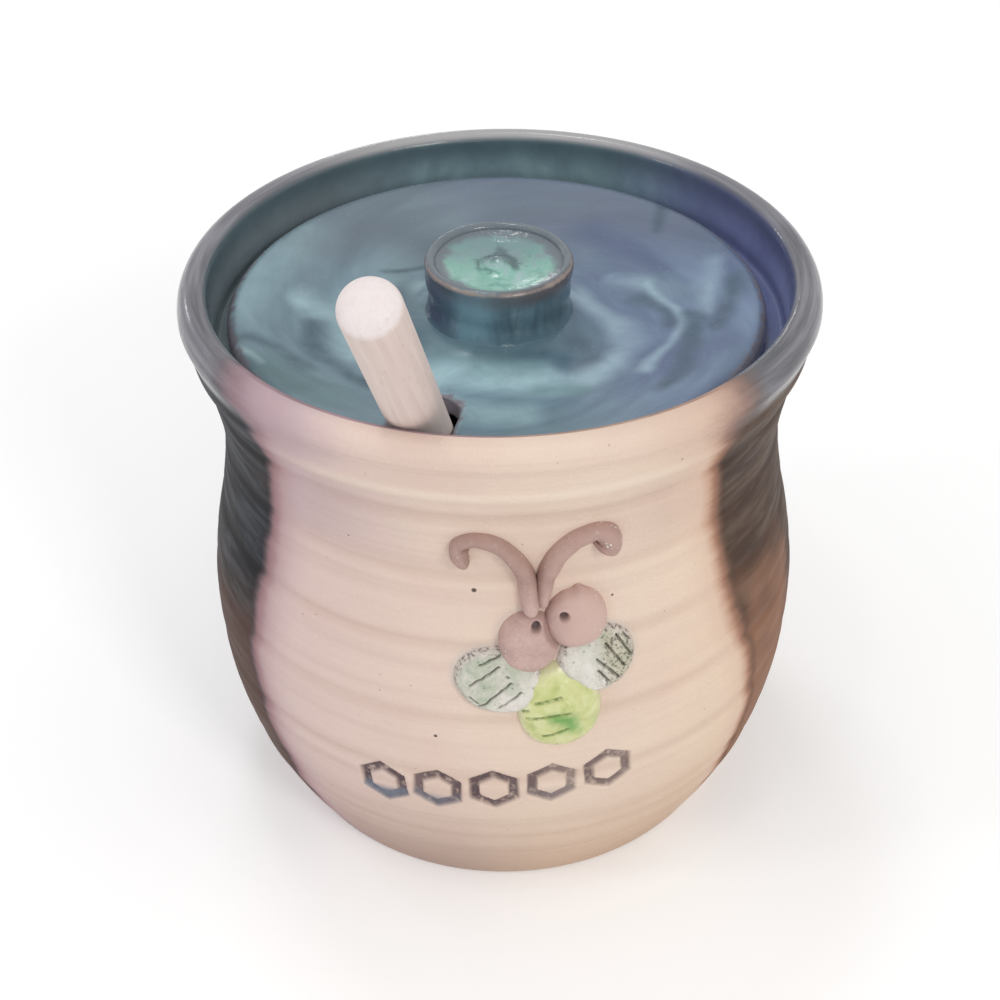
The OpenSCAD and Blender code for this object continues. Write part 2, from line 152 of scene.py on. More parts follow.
def finger_marks(z, turn):
    """Uneven ridges that the fingers left, each one drifting a little as it goes round."""
    rng = np.random.default_rng(11)
    total = np.zeros(np.broadcast(z, turn).shape)
    around = np.radians(turn)
    for i in range(FINGER_MARKS):
        depth = 8 + i * 2.55 + rng.uniform(-0.7, 0.7)
        width = rng.uniform(0.5, 1.0)
        height = rng.uniform(-0.09, 0.06)
        start, drift = rng.uniform(0, 2 * math.pi, 2)
        fade = 0.65 + 0.35 * np.sin(around + start)
        total += height * fade * bump(z, depth + 0.45 * np.sin(around + drift), width)
    for depth, width, height in FOOT_RINGS:
        total += height * bump(z, depth + 0.3 * np.sin(around), width)
    return total


# Modelling helpers

def clear_selection():
    bpy.ops.object.select_all(action="DESELECT")


def choose(piece):
    clear_selection()
    bpy.context.view_layer.objects.active = piece
    piece.select_set(True)


def edit(piece):
    choose(piece)
    bpy.ops.object.mode_set(mode="EDIT")


def done():
    bpy.ops.object.mode_set(mode="OBJECT")


def places(piece):
    """The piece's points as rows of x, y, z in millimetres."""
    flat = np.empty(len(piece.data.vertices) * 3, np.float32)
    piece.data.vertices.foreach_get("co", flat)
    return flat.reshape(-1, 3).astype(float) / MM


def set_places(piece, points):
    piece.data.vertices.foreach_set("co", (np.asarray(points) * MM).astype(np.float32).ravel())
    piece.data.update()


def paint(piece, name, values):
    """Keeps one number a point on the piece, which its material reads."""
    layer = piece.data.attributes.new(name, "FLOAT", "POINT")
    layer.data.foreach_set("value", np.asarray(values, np.float32))


def apply_modifier(piece, kind, **settings):
    choose(piece)
    modifier = piece.modifiers.new(kind.lower(), kind)
    for key, value in settings.items():
        setattr(modifier, key, value)
    bpy.ops.object.modifier_apply(modifier=modifier.name)


def face_outwards(piece, merge=0.0):
    edit(piece)
    bpy.ops.mesh.select_all(action="SELECT")
    if merge:
        bpy.ops.mesh.remove_doubles(threshold=merge * MM)
    bpy.ops.mesh.normals_make_consistent(inside=False)
    done()


def finish_piece(piece, body, nodes, material, angle=40):
    """Smooths the shading, hangs the finish on the piece and lets it ride in place of its CAD nodes."""
    choose(piece)
    bpy.ops.object.shade_smooth_by_angle(angle=math.radians(angle))
    piece.data.materials.clear()
    piece.data.materials.append(material)
    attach(piece, body)
    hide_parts(*nodes)
    return piece


def divided(points, step):
    """The same line with no stretch longer than step."""
    line = [points[0]]
    for a, b in zip(points, points[1:]):
        count = max(1, math.ceil(math.dist(a, b) / step))
        line += [(a[0] + (b[0] - a[0]) * i / count, a[1] + (b[1] - a[1]) * i / count)
                 for i in range(1, count + 1)]
    return line


def rounded(corners, steps=6):
    """A line through corners given as (r, z, rounding), each turned by an arc."""
    line = []
    for i, (r, z, radius) in enumerate(corners):
        here = Vector((r, z))
        if radius == 0 or i in (0, len(corners) - 1):
            line.append((r, z))
            continue
        before = (Vector(corners[i - 1][:2]) - here).normalized()
        after = (Vector(corners[i + 1][:2]) - here).normalized()
        half = before.angle(after) / 2
        middle = here + (before + after).normalized() * radius / math.sin(half)
        start = here + before * radius / math.tan(half)
        end = here + after * radius / math.tan(half)
        for k in range(steps + 1):
            share = k / steps
            way = (start - middle).lerp(end - middle, share).normalized()
            line.append(tuple(middle + way * radius))
    return line


def lathe(name, profile, sectors, start=0.0):
    """A closed turned piece: a profile drawn point by point from axis to axis, then spun round the Z axis."""
    out_x, out_y = math.sin(math.radians(start)), -math.cos(math.radians(start))
    line = [Vector((r * out_x, r * out_y, z)) * MM for r, z in profile]
    clear_selection()
    bpy.ops.mesh.primitive_plane_add(size=MM, location=line[0])
    piece = bpy.context.object
    piece.name = name
    bpy.ops.object.transform_apply()
    bpy.ops.object.mode_set(mode="EDIT")
    bpy.ops.mesh.merge(type="CENTER")
    for a, b in zip(line, line[1:]):
        bpy.ops.mesh.extrude_region_move(TRANSFORM_OT_translate={"value": b - a})
    bpy.ops.mesh.select_all(action="SELECT")
    for angle, steps in sectors:
        bpy.ops.mesh.spin(steps=steps, angle=math.radians(angle), center=(0, 0, 0), axis=(0, 0, 1))
    done()
    face_outwards(piece, merge=0.004)
    return piece


# The finishes

# The average of a noise pattern, which runs from 0 to 1
PATTERN_MIDDLE = 0.5


class Finish:
    """A node-based finish: each call adds one node and gives its output."""

    def __init__(self, name, **constants):
        self.material = bpy.data.materials.new(name)
        self.material.use_nodes = True
        self.tree = self.material.node_tree
        self.shader = self.tree.nodes["Principled BSDF"]
        for socket, value in constants.items():
            self.shader.inputs[socket.replace("_", " ")].default_value = value
        metres = self.add("ShaderNodeTexCoord").outputs["Object"]
        self.place = self.vector("SCALE", metres, scale=1 / MM)

    def add(self, kind, **settings):
        node = self.tree.nodes.new(kind)
        for key, value in settings.items():
            setattr(node, key, value)
        return node

    def plug(self, socket, value):
        if isinstance(value, bpy.types.NodeSocket):
            self.tree.links.new(value, socket)
        else:
            socket.default_value = value

    def set(self, **sockets):
        for socket, value in sockets.items():
            self.plug(self.shader.inputs[socket.replace("_", " ")], value)

    def math(self, operation, *values):
        node = self.add("ShaderNodeMath", operation=operation)
        for socket, value in zip(node.inputs, values):
            self.plug(socket, value)
        return node.outputs[0]

    def times(self, a, b):
        return self.math("MULTIPLY", a, b)

    def plus(self, a, b):
        return self.math("ADD", a, b)

    def minus(self, a, b):
        return self.math("SUBTRACT", a, b)

    def larger(self, a, b):
        return self.math("MAXIMUM", a, b)

    def vector(self, operation, *values, scale=None):
        node = self.add("ShaderNodeVectorMath", operation=operation)
        for socket, value in zip(node.inputs, values):
            self.plug(socket, value)
        if scale is not None:
            self.plug(node.inputs["Scale"], scale)
        scalar = operation in ("LENGTH", "DISTANCE", "DOT_PRODUCT")
        return node.outputs["Value" if scalar else "Vector"]

    def split(self, vector):
        node = self.add("ShaderNodeSeparateXYZ")
        self.plug(node.inputs[0], vector)
        return node.outputs

    def join(self, x, y, z):
        node = self.add("ShaderNodeCombineXYZ")
        for socket, value in zip(node.inputs, (x, y, z)):
            self.plug(socket, value)
        return node.outputs[0]

    def stretch(self, vector, x, y, z):
        return self.vector("MULTIPLY", vector, (1 / x, 1 / y, 1 / z))

    def noise(self, vector, size=1.0, detail=2.0, roughness=0.5, distortion=0.0):
        node = self.add("ShaderNodeTexNoise")
        self.plug(node.inputs["Vector"], vector)
        node.inputs["Scale"].default_value = 1 / size
        node.inputs["Detail"].default_value = detail
        node.inputs["Roughness"].default_value = roughness
        node.inputs["Distortion"].default_value = distortion
        return node.outputs[0]

    def specks(self, vector, size, radius, share):
        """Round specks on a scatter of points: 1 inside a speck, on that share of the points."""
        node = self.add("ShaderNodeTexVoronoi")
        self.plug(node.inputs["Vector"], vector)
        node.inputs["Scale"].default_value = 1 / size
        near = self.span(node.outputs["Distance"], radius, radius * 0.6)
        red = self.add("ShaderNodeSeparateColor")
        self.plug(red.inputs[0], node.outputs["Color"])
        chosen = self.math("LESS_THAN", red.outputs[0], share)
        return self.times(near, chosen)

    def span(self, value, low, high, to_low=0.0, to_high=1.0, kind="SMOOTHSTEP"):
        node = self.add("ShaderNodeMapRange", interpolation_type=kind)
        for socket, number in zip(node.inputs, (value, low, high, to_low, to_high)):
            self.plug(socket, number)
        return node.outputs[0]

    def ramp(self, value, low, high, stops):
        """Colours along a value that goes from low to high: stops are (value, colour)."""
        node = self.add("ShaderNodeValToRGB")
        node.color_ramp.interpolation = "LINEAR"
        self.plug(node.inputs[0], self.span(value, low, high, kind="LINEAR"))
        points = node.color_ramp.elements
        while len(points) < len(stops):
            points.new(1.0)
        for point, (at, colour) in zip(points, stops):
            point.position = (at - low) / (high - low)
            point.color = colour
        return node.outputs[0]

    def tones(self, value, low, high, deep, middle, pale):
        """Three tones of one colour over a pattern, the middle one at its average."""
        stops = zip((low, PATTERN_MIDDLE, high), (deep, middle, pale))
        return self.ramp(value, low, high, [(at, rgb(*tone)) for at, tone in stops])

    def wash(self, colour, amount, tone, strength=None):
        """The colour with a tone laid over it by that amount, thinned by the strength."""
        if strength is not None:
            amount = self.times(amount, strength)
        return self.mix(amount, colour, rgb(*tone))

    def mix(self, factor, a, b):
        node = self.add("ShaderNodeMix", data_type="RGBA", blend_type="MIX")
        self.plug(node.inputs[0], factor)
        self.plug(node.inputs[6], a)
        self.plug(node.inputs[7], b)
        return node.outputs[2]

    def painted(self, name):
        return self.add("ShaderNodeAttribute", attribute_name=name).outputs["Fac"]

    def relief(self, *layers):
        """Fine relief from (pattern, height in millimetres) pairs, one on the other."""
        normal = None
        for pattern, height in layers:
            node = self.add("ShaderNodeBump")
            node.inputs["Distance"].default_value = height * MM
            self.plug(node.inputs["Height"], pattern)
            if normal is not None:
                self.plug(node.inputs["Normal"], normal)
            normal = node.outputs[0]
        self.set(Normal=normal)


def stoneware():
    """Bare buff clay in front; grey, teal and brown glaze dipped on both sides and poured inside."""
    f = Finish("stoneware", Specular_IOR_Level=0.26)
    x, y, z = f.split(f.place)
    ridge, crest, inside = f.painted("ridge"), f.painted("crest"), f.painted("inside")
    rightwards = f.span(x, -12, 12)

    # The clay: buff, with painted light on both sides, thin lines scored by grit, iron specks
    cloudy = f.noise(f.stretch(f.place, 1, 1, 0.6), 24, 3)
    clay = f.tones(cloudy, 0.3, 0.7, (226, 203, 187), (231, 210, 194), (233, 214, 196))
    # Painted light: a pink tint of light falls on the left, warmer and lighter light on the right
    clay = f.wash(clay, f.span(x, 6, -46), (221, 197, 193), 0.85)
    clay = f.wash(clay, f.span(x, 14, 44), (234, 209, 182), 0.6)
    soft_lines = f.noise(f.stretch(f.place, 110, 110, 2.0), 1, 2, 0.5)
    clay = f.wash(clay, f.span(soft_lines, 0.46, 0.7, 0, f.span(x, 20, -40, 0.1, 0.3)), (200, 174, 164))
    thin_lines = f.noise(f.stretch(f.place, 60, 60, 0.6), 1, 3, 0.6)
    clay = f.wash(clay, f.span(thin_lines, 0.5, 0.75, 0, 0.12), (204, 178, 164))
    # Painted shade darkens the clay in the grooves, and a painted highlight lightens it on the ridges
    hollow = f.span(ridge, 0.0, -0.3)
    clay = f.wash(clay, hollow, (196, 168, 152), 0.3)
    ridge_highlight = f.span(ridge, 0.08, 0.38)
    clay = f.wash(clay, ridge_highlight, (242, 226, 208), 0.55)
    clay = f.wash(clay, f.specks(f.place, 2.6, 0.09, 0.12), (150, 118, 104), 0.4)
    clay = f.wash(clay, f.specks(f.place, 0.9, 0.22, 0.25), (246, 236, 224), 0.22)
    for turn, depth, radius in IRON_SPOTS:
        spot = f.vector("DISTANCE", f.place, tuple(on_wall(turn, POT_H - depth, 0.0)))
        clay = f.wash(clay, f.span(spot, radius, radius * 0.5), (96, 84, 78))

    # Painted shade: the clay darkens towards the foot, pinker on the left
    clay = f.mix(f.span(z, 36, 4, 0, 0.65), clay, f.mix(rightwards, rgb(174, 148, 137), rgb(207, 177, 151)))

    # Painted shade darkens the clay under the flare towards both sides; the clay on the lip goes darker and
    # pinker towards both sides
    aside = f.math("ABSOLUTE", x)
    waist_shade = f.mix(rightwards, rgb(182, 160, 168), rgb(200, 172, 160))
    waist = f.times(f.span(f.math("ABSOLUTE", f.minus(z, 86.0)), 13, 3), f.span(aside, 8, 38))
    clay = f.mix(f.times(waist, 0.62), clay, waist_shade)
    lip_end_tone = f.mix(rightwards, rgb(172, 150, 166), rgb(206, 178, 166))
    lip_end = f.times(f.span(crest, 11, 3), f.span(aside, 22, 42))
    clay = f.mix(f.times(lip_end, 0.7), clay, lip_end_tone)

    # The dipped glaze runs out softly over the clay, thinner on each ridge
    drift = f.noise(f.stretch(f.place, 2, 2, 1), 7, 3, 0.5)
    fine_drift = f.noise(f.stretch(f.place, 4, 4, 0.9), 1, 3, 0.6)
    on_lip = f.span(crest, 14, 5)
    softness = f.minus(1.0, f.times(on_lip, f.span(inside, 1.5, 0.3, 0, 0.62)))
    edge = f.times(f.painted("edge"), softness)
    edge = f.plus(edge, f.span(drift, 0.25, 0.75, -0.9, 0.9, "LINEAR"))
    edge = f.plus(edge, f.span(fine_drift, 0.3, 0.7, -0.22, 0.22, "LINEAR"))
    edge = f.minus(edge, f.times(ridge, 1.2))
    streaks = f.noise(f.stretch(f.place, 12, 12, 2.0), 1, 4, 0.55, 0.3)
    streaked = f.span(f.plus(streaks, f.times(ridge, 0.4)), 0.3, 0.76)
    high = f.span(z, 36, 62)
    left_high = f.mix(streaked, rgb(14, 12, 18), rgb(46, 50, 58))
    right_high = f.mix(streaked, rgb(66, 46, 36), rgb(94, 76, 62))
    low = f.mix(streaked, rgb(70, 48, 38), rgb(92, 68, 54))
    cloud_side = f.plus(x, f.span(f.noise(f.place, 22, 3), 0.3, 0.7, -24, 24))
    glaze = f.mix(high, low, f.mix(f.span(cloud_side, -38, 38), left_high, right_high))
    # It is thin near the foot of the bare panel, where the clay burnt brown shows through
    wavering = f.span(f.noise(f.place, 24, 2), 0.3, 0.7, -8, 8)
    beside = f.times(f.span(f.plus(edge, wavering), 33, 10), f.span(f.plus(z, wavering), 62, 44))
    burnt = f.mix(rightwards, rgb(84, 58, 48), rgb(146, 104, 80))
    glaze = f.mix(f.times(beside, f.span(x, -12, 12, 0.8, 0.95)), glaze, burnt)
    round_lip = f.join(f.times(crest, 0.7), f.times(x, 0.04), f.times(y, 0.04))
    lip_bands = f.noise(round_lip, 1, 3, 0.55, 0.3)
    over_lip = f.tones(lip_bands, 0.32, 0.68, (98, 99, 104), (121, 121, 127), (143, 144, 150))
    # Painted highlight: the lip's glaze is lighter at the back of the rim
    over_lip = f.wash(over_lip, f.span(y, 30, 50, 0, 0.75), (182, 180, 180))
    glaze = f.mix(f.span(crest, 8.5, 3.5), glaze, over_lip)

    # The poured glaze inside: teal, going blue and violet on the right with painted violet light, darker
    # under the lip
    pooled = f.noise(f.stretch(f.place, 1, 1, 1.6), 9, 4, 0.55, 0.6)
    teal = f.tones(pooled, 0.3, 0.72, (98, 120, 128), (114, 138, 146), (130, 158, 164))
    teal = f.wash(teal, f.span(x, -8, -40), (112, 122, 128), 0.8)
    # Painted light: a violet tint of light on the right of the inner wall
    violet_light = f.mix(pooled, rgb(104, 110, 154), rgb(132, 142, 188))
    well = f.mix(f.span(f.plus(x, f.times(y, 0.2)), 26, 52), teal, violet_light)
    under_lip = f.span(inside, 9.5, 4.0)
    well = f.mix(f.times(under_lip, 0.75), well, f.mix(f.span(x, 20, 46), rgb(64, 82, 88), rgb(64, 68, 96)))
    glaze = f.mix(f.span(inside, 1.6, 3.4), glaze, well)

    left_run = f.ramp(edge, -12, 3, [
        (-12, rgb(216, 194, 196)), (-6, rgb(204, 179, 182)), (-2, rgb(186, 156, 158)),
        (0, rgb(162, 128, 131)), (1.3, rgb(110, 92, 96)), (3, rgb(60, 54, 60))])
    right_run = f.ramp(edge, -9, 3, [
        (-9, rgb(230, 206, 187)), (-3.2, rgb(222, 194, 174)), (-1.4, rgb(200, 162, 140)),
        (0, rgb(158, 118, 98)), (1.3, rgb(118, 90, 76)), (3, rgb(84, 66, 54))])
    run = f.mix(rightwards, left_run, right_run)
    run = f.mix(f.times(on_lip, 0.45), run, f.mix(f.span(edge, -3, 1.5), lip_end_tone, over_lip))
    colour = f.mix(f.span(edge, -11, -3, 0, 0.65), clay, run)
    colour = f.mix(f.span(edge, -4, -0.5), colour, run)
    colour = f.mix(f.span(edge, 0.6, 3.0), colour, glaze)

    # The stamped cells hold dark stain, with milky blue where the glaze pooled
    worn = f.noise(f.place, 1.5, 4, 0.65)
    stain = f.mix(f.noise(f.place, 2.8, 3), rgb(66, 56, 66), rgb(118, 98, 100))
    inked = f.times(f.painted("ink"), f.span(worn, 0.3, 0.5, 0.45, 0.96))
    colour = f.mix(inked, colour, stain)
    milky = f.mix(f.noise(f.place, 1.2, 3), rgb(96, 100, 112), rgb(150, 156, 170))
    colour = f.mix(f.times(f.painted("pool"), f.span(worn, 0.25, 0.5, 0.65, 1.0)), colour, milky)
    smeared = f.times(f.painted("smear"), f.span(worn, 0.3, 0.6, 0.6, 1.0))
    colour = f.wash(colour, smeared, (206, 200, 194))

    glassy = f.span(edge, 0.0, 3.5)
    gloss = f.larger(f.span(crest, 9, 5), f.span(inside, 0.5, 2))
    satin = f.minus(f.span(streaked, 0.2, 0.8, 0.66, 0.58), f.times(gloss, 0.46))
    wet = f.larger(glassy, f.times(f.larger(f.painted("pool"), smeared), 0.9))
    rough = f.plus(f.times(wet, satin), f.times(f.minus(1.0, wet), 0.85))
    f.set(Base_Color=colour, Roughness=rough)
    grain = f.noise(f.place, 0.45, 3, 0.7)
    dry = f.span(edge, 1.5, -0.5)
    fine_lines = f.noise(f.stretch(f.place, 40, 40, 0.5), 1, 3, 0.6)
    f.relief((f.times(grain, dry), 0.14), (f.times(fine_lines, dry), 0.06),
             (f.times(soft_lines, dry), -0.08), (f.noise(f.place, 3.5, 2), 0.12))
    return f.material


def lid_glaze():
    """Running teal glaze with pale swirls, breaking to grey-brown along every edge."""
    f = Finish("lid_glaze", Specular_IOR_Level=0.45)
    centred = f.vector("ADD", f.place, (-LID_SHIFT, 0, 0))
    x, y, _ = f.split(centred)
    radius = f.vector("LENGTH", f.join(x, y, 0.0))
    turn = f.math("ARCTAN2", y, x)
    # Swirls follow a spiral, as a wheel-poured glaze does
    swirl = f.plus(turn, f.times(radius, 0.05))
    spun = f.join(f.times(f.math("COSINE", swirl), 14.0), f.times(f.math("SINE", swirl), 14.0),
                  f.times(radius, 0.8))
    runs = f.noise(spun, 8.0, 4, 0.55, 0.6)
    clouds = f.noise(centred, 15, 4, 0.55, 0.4)
    teal = f.tones(runs, 0.3, 0.7, (98, 122, 134), (114, 140, 152), (132, 158, 168))
    steel = f.tones(runs, 0.3, 0.7, (90, 107, 136), (104, 122, 151), (120, 140, 168))
    right = f.span(f.plus(x, f.times(y, 0.35)), -8, 22)
    blue = f.times(right, f.span(clouds, 0.3, 0.6, 0.55, 1.0))
    colour = f.mix(blue, teal, steel)
    back = f.span(y, 6, 34)
    colour = f.wash(colour, back, (106, 114, 124), 0.6)
    patchy = f.span(f.noise(centred, 6, 4, 0.6, 0.6), 0.3, 0.7, 0.6, 1.0)
    pooled = f.times(f.span(radius, 24, 14), f.span(y, 8, -10))
    colour = f.wash(colour, pooled, (84, 112, 122), 0.6)
    colour = f.wash(colour, f.painted("deep"), (78, 92, 126), 0.6)
    colour = f.wash(colour, f.painted("slate"), (98, 110, 122), 0.6)
    pale = f.times(f.painted("pale"), patchy)
    colour = f.mix(f.times(pale, 0.95), colour, f.mix(blue, rgb(176, 206, 213), rgb(146, 170, 188)))
    dark = f.times(f.painted("dark"), patchy)
    colour = f.wash(colour, dark, (56, 80, 94), 0.9)
    colour = f.wash(colour, f.painted("green"), (88, 128, 124), 0.5)
    fleck = f.specks(centred, 1.3, 0.25, 0.25)
    colour = f.wash(colour, fleck, (170, 186, 190), 0.08)
    ragged = f.noise(centred, 2.2, 3)
    rim = f.plus(f.painted("rim"), f.span(ragged, 0.3, 0.7, -0.4, 0.4))
    breaking = f.mix(ragged, rgb(108, 104, 112), rgb(132, 128, 136))
    colour = f.mix(f.span(rim, 1.8, 0.7), colour, breaking)
    f.set(Base_Color=colour, Roughness=f.span(clouds, 0.3, 0.7, 0.16, 0.28))
    f.relief((f.noise(centred, 0.6, 3, 0.6), 0.015), (runs, 0.12), (clouds, 0.2))
    return f.material


def knob_glaze():
    """Dark teal running down the side, grey-brown where it breaks over the lip, green in the hollow."""
    f = Finish("knob_glaze", Specular_IOR_Level=0.45)
    centred = f.vector("ADD", f.place, (-KNOB_SHIFT, 0, 0))
    x, y, z = f.split(centred)
    radius = f.vector("LENGTH", f.join(x, y, 0.0))
    top_z = KNOB_SEAT_Z + KNOB_H
    runs = f.noise(f.stretch(centred, 1, 1, 5), 2.6, 4, 0.6)
    side = f.tones(runs, 0.3, 0.7, (70, 92, 104), (86, 112, 124), (98, 130, 144))
    side = f.wash(side, f.span(f.math("ABSOLUTE", f.plus(x, 4.5)), 4.5, 1.0), (114, 150, 164), 0.7)
    side = f.wash(side, f.span(x, -6, -12), (66, 70, 96))
    side = f.wash(side, f.span(x, 3, 10), (66, 80, 86), 0.35)
    foot = f.plus(z, f.span(runs, 0.3, 0.7, -0.5, 0.5))
    side = f.wash(side, f.span(foot, KNOB_SEAT_Z + 3.2, KNOB_SEAT_Z, 0, 0.8), (88, 116, 128))
    under_lip = f.times(f.span(foot, top_z - 4.2, top_z - 1.4), f.span(x, -6, 9, 0.3, 0.9))
    side = f.wash(side, under_lip, (94, 86, 88))
    pool = f.noise(centred, 4.0, 4, 0.6, 0.8)
    bowl = f.tones(pool, 0.32, 0.68, (114, 164, 152), (138, 186, 172), (166, 196, 196))
    rear = f.plus(y, f.span(pool, 0.3, 0.7, -3.0, 3.0))
    bowl = f.wash(bowl, f.span(rear, -3.0, 7.0, 0, 0.8), (118, 138, 146))
    nib = f.span(f.plus(f.vector("DISTANCE", f.join(x, y, 0.0), (0.5, 1.8, 0.0)),
                        f.span(pool, 0.3, 0.7, -1.4, 1.4)), 4.6, 2.2)
    bowl = f.wash(bowl, nib, (80, 92, 102), 0.8)
    rim = f.mix(pool, rgb(98, 110, 118), rgb(120, 128, 134))
    bowl_edge = f.plus(radius, f.span(pool, 0.3, 0.7, -0.7, 0.7))
    top = f.mix(f.span(bowl_edge, 8.3, 10.2), bowl, rim)
    up = f.times(f.span(z, top_z - 3.4, top_z - 2.4), f.span(radius, 12.4, 11.9))
    colour = f.mix(up, side, top)
    lip_near = f.vector("DISTANCE", f.join(radius, z, 0.0), (KNOB_R - 0.2, top_z - 0.5, 0.0))
    lip_near = f.plus(lip_near, f.span(runs, 0.3, 0.7, -0.15, 0.15))
    bare = f.mix(f.noise(centred, 2.5, 2), rgb(134, 122, 118), rgb(170, 156, 148))
    colour = f.mix(f.times(f.span(lip_near, 0.55, 0.15), f.span(y, 3, -9, 0.3, 0.85)), colour, bare)
    f.set(Base_Color=colour, Roughness=f.span(runs, 0.3, 0.7, 0.1, 0.2))
    f.relief((f.noise(centred, 0.7, 3, 0.6), 0.02), (runs, 0.1), (pool, 0.15))
    return f.material


def pale_wood():
    """Sanded pale beech: fine grain and short pores along the stick, a little pink."""
    f = Finish("pale_wood", Specular_IOR_Level=0.35)
    turned = f.add("ShaderNodeMapping", vector_type="TEXTURE")
    turned.inputs["Location"].default_value = DIPPER_END
    turned.inputs["Rotation"].default_value = DIPPER_TURN.to_euler()
    f.plug(turned.inputs["Vector"], f.place)
    along = turned.outputs[0]
    grain = f.noise(f.stretch(along, 1, 1, 26), 1.1, 4, 0.6, 0.4)
    bands = f.noise(f.stretch(along, 1, 1, 60), 4.2, 2, 0.5)
    pores = f.specks(f.stretch(along, 1, 1, 7), 0.62, 0.3, 0.35)
    colour = f.tones(grain, 0.3, 0.72, (212, 194, 186), (222, 206, 198), (230, 216, 208))
    colour = f.wash(colour, f.span(bands, 0.4, 0.65, 0, 0.35), (212, 190, 184))
    colour = f.wash(colour, pores, (176, 150, 140), 0.12)
    _, _, height = f.split(along)
    end = f.span(height, CAP_START + 0.4, CAP_START + 2.0)
    end_rings = f.span(f.noise(along, 0.8, 3, 0.6), 0.3, 0.7, 0.75, 1.0)
    colour = f.wash(colour, f.times(end, f.times(end_rings, 0.9)), (236, 228, 228))
    f.set(Base_Color=colour, Roughness=f.span(grain, 0.3, 0.7, 0.5, 0.64))
    f.relief((grain, 0.05), (pores, -0.03))
    return f.material


def brown_clay():
    """Matte brown clay with white crumbs stuck in it."""
    f = Finish("brown_clay", Specular_IOR_Level=0.4, Roughness=0.65)
    soft = f.noise(f.place, 5, 4, 0.6)
    colour = f.tones(soft, 0.3, 0.7, (178, 148, 142), (190, 160, 153), (202, 173, 164))
    fine = f.noise(f.place, 0.7, 3, 0.7)
    colour = f.wash(colour, f.span(fine, 0.45, 0.75, 0, 0.3), (166, 136, 130))
    x, _, z = f.split(f.place)
    darker = f.mix(f.span(x, 2, 6), rgb(152, 122, 111), rgb(170, 138, 128))
    colour = f.mix(f.span(z, POT_H - 33, POT_H - 27, 0, 0.5), colour, darker)
    colour = f.wash(colour, f.times(f.span(x, 6, 13), f.span(z, POT_H - 29, POT_H - 32)), (204, 174, 164))
    crumbs = f.larger(f.specks(f.place, 0.9, 0.2, 0.12),
                    f.times(f.specks(f.place, 0.75, 0.42, 0.4), f.painted("crumbs")))
    colour = f.wash(colour, crumbs, (230, 220, 212), 0.8)
    # Painted shade: the eye holes are painted dark
    colour = f.wash(colour, f.painted("hole"), (84, 76, 76))
    f.set(Base_Color=colour)
    f.relief((fine, 0.06), (crumbs, 0.12), (soft, 0.2))
    return f.material


def wing_glaze():
    """Clear grey-green glass over pale clay, with stained scratches and dark flecks."""
    f = Finish("wing_glaze", Specular_IOR_Level=0.55, Roughness=0.12)
    cloud = f.noise(f.place, 2.6, 4, 0.6, 0.5)
    colour = f.tones(cloud, 0.3, 0.7, (166, 180, 154), (194, 196, 180), (222, 216, 208))
    colour = f.wash(colour, f.painted("flecks"), (196, 184, 158), 0.5)
    colour = f.wash(colour, f.painted("border"), (214, 202, 198), 0.6)
    colour = f.wash(colour, f.painted("milk"), (232, 226, 220), 0.75)
    broken = f.span(f.noise(f.place, 0.9, 3, 0.7), 0.36, 0.52)
    stained = f.times(f.painted("cut"), f.plus(f.times(broken, 0.6), 0.4))
    colour = f.wash(colour, stained, (78, 80, 70), 0.85)
    mottled = f.span(f.noise(f.place, 0.6, 4, 0.7, 0.6), 0.54, 0.62)
    flecks = f.times(mottled, f.larger(f.painted("border"), f.painted("flecks")))
    colour = f.wash(colour, flecks, (92, 88, 76), 0.75)
    dots = f.times(f.specks(f.place, 0.9, 0.3, 0.35), f.span(cloud, 0.6, 0.4))
    colour = f.wash(colour, dots, (96, 96, 88), 0.5)
    f.set(Base_Color=colour)
    f.relief((cloud, 0.5), (f.noise(f.place, 0.8, 3, 0.6), 0.32), (flecks, -0.1))
    return f.material


def abdomen_glaze():
    """Thick yellow-green glass with a green pool and stained scratches."""
    f = Finish("abdomen_glaze", Specular_IOR_Level=0.55, Roughness=0.09)
    cloud = f.noise(f.place, 3.0, 4, 0.55, 0.5)
    colour = f.tones(cloud, 0.3, 0.7, (184, 194, 122), (206, 210, 146), (220, 221, 172))
    colour = f.wash(colour, f.painted("border"), (214, 209, 176), 0.7)
    ragged = f.times(f.painted("pool"), f.span(f.noise(f.place, 1.6, 3, 0.6, 0.5), 0.25, 0.6, 0.55, 1.0))
    colour = f.mix(ragged, colour, f.mix(cloud, rgb(92, 152, 72), rgb(132, 176, 88)))
    broken = f.span(f.noise(f.place, 0.8, 3, 0.7), 0.34, 0.56, 0.25, 0.9)
    colour = f.wash(colour, f.times(f.painted("cut"), broken), (102, 126, 62))
    dots = f.times(f.specks(f.place, 1.1, 0.28, 0.25), f.painted("border"))
    colour = f.wash(colour, dots, (118, 116, 84), 0.6)
    f.set(Base_Color=colour)
    f.relief((cloud, 0.3), (f.noise(f.place, 1.0, 3, 0.6), 0.16))
    return f.material


# Places on the wall

def on_wall(turn, z, lift):
    around = np.radians(turn)
    r = outer_r(z) + lift
    return np.stack([r * np.sin(around), -r * np.cos(around), np.broadcast_to(z, np.shape(r))], axis=-1)


def on_bee(u, v, lift):
    """A place in the bee: u to the right of its middle and v above its eyes, both measured along the wall."""
    return on_wall(BEE_TURN + np.degrees(u / BELLY_R), POT_H - BEE_DEPTH + v, lift)


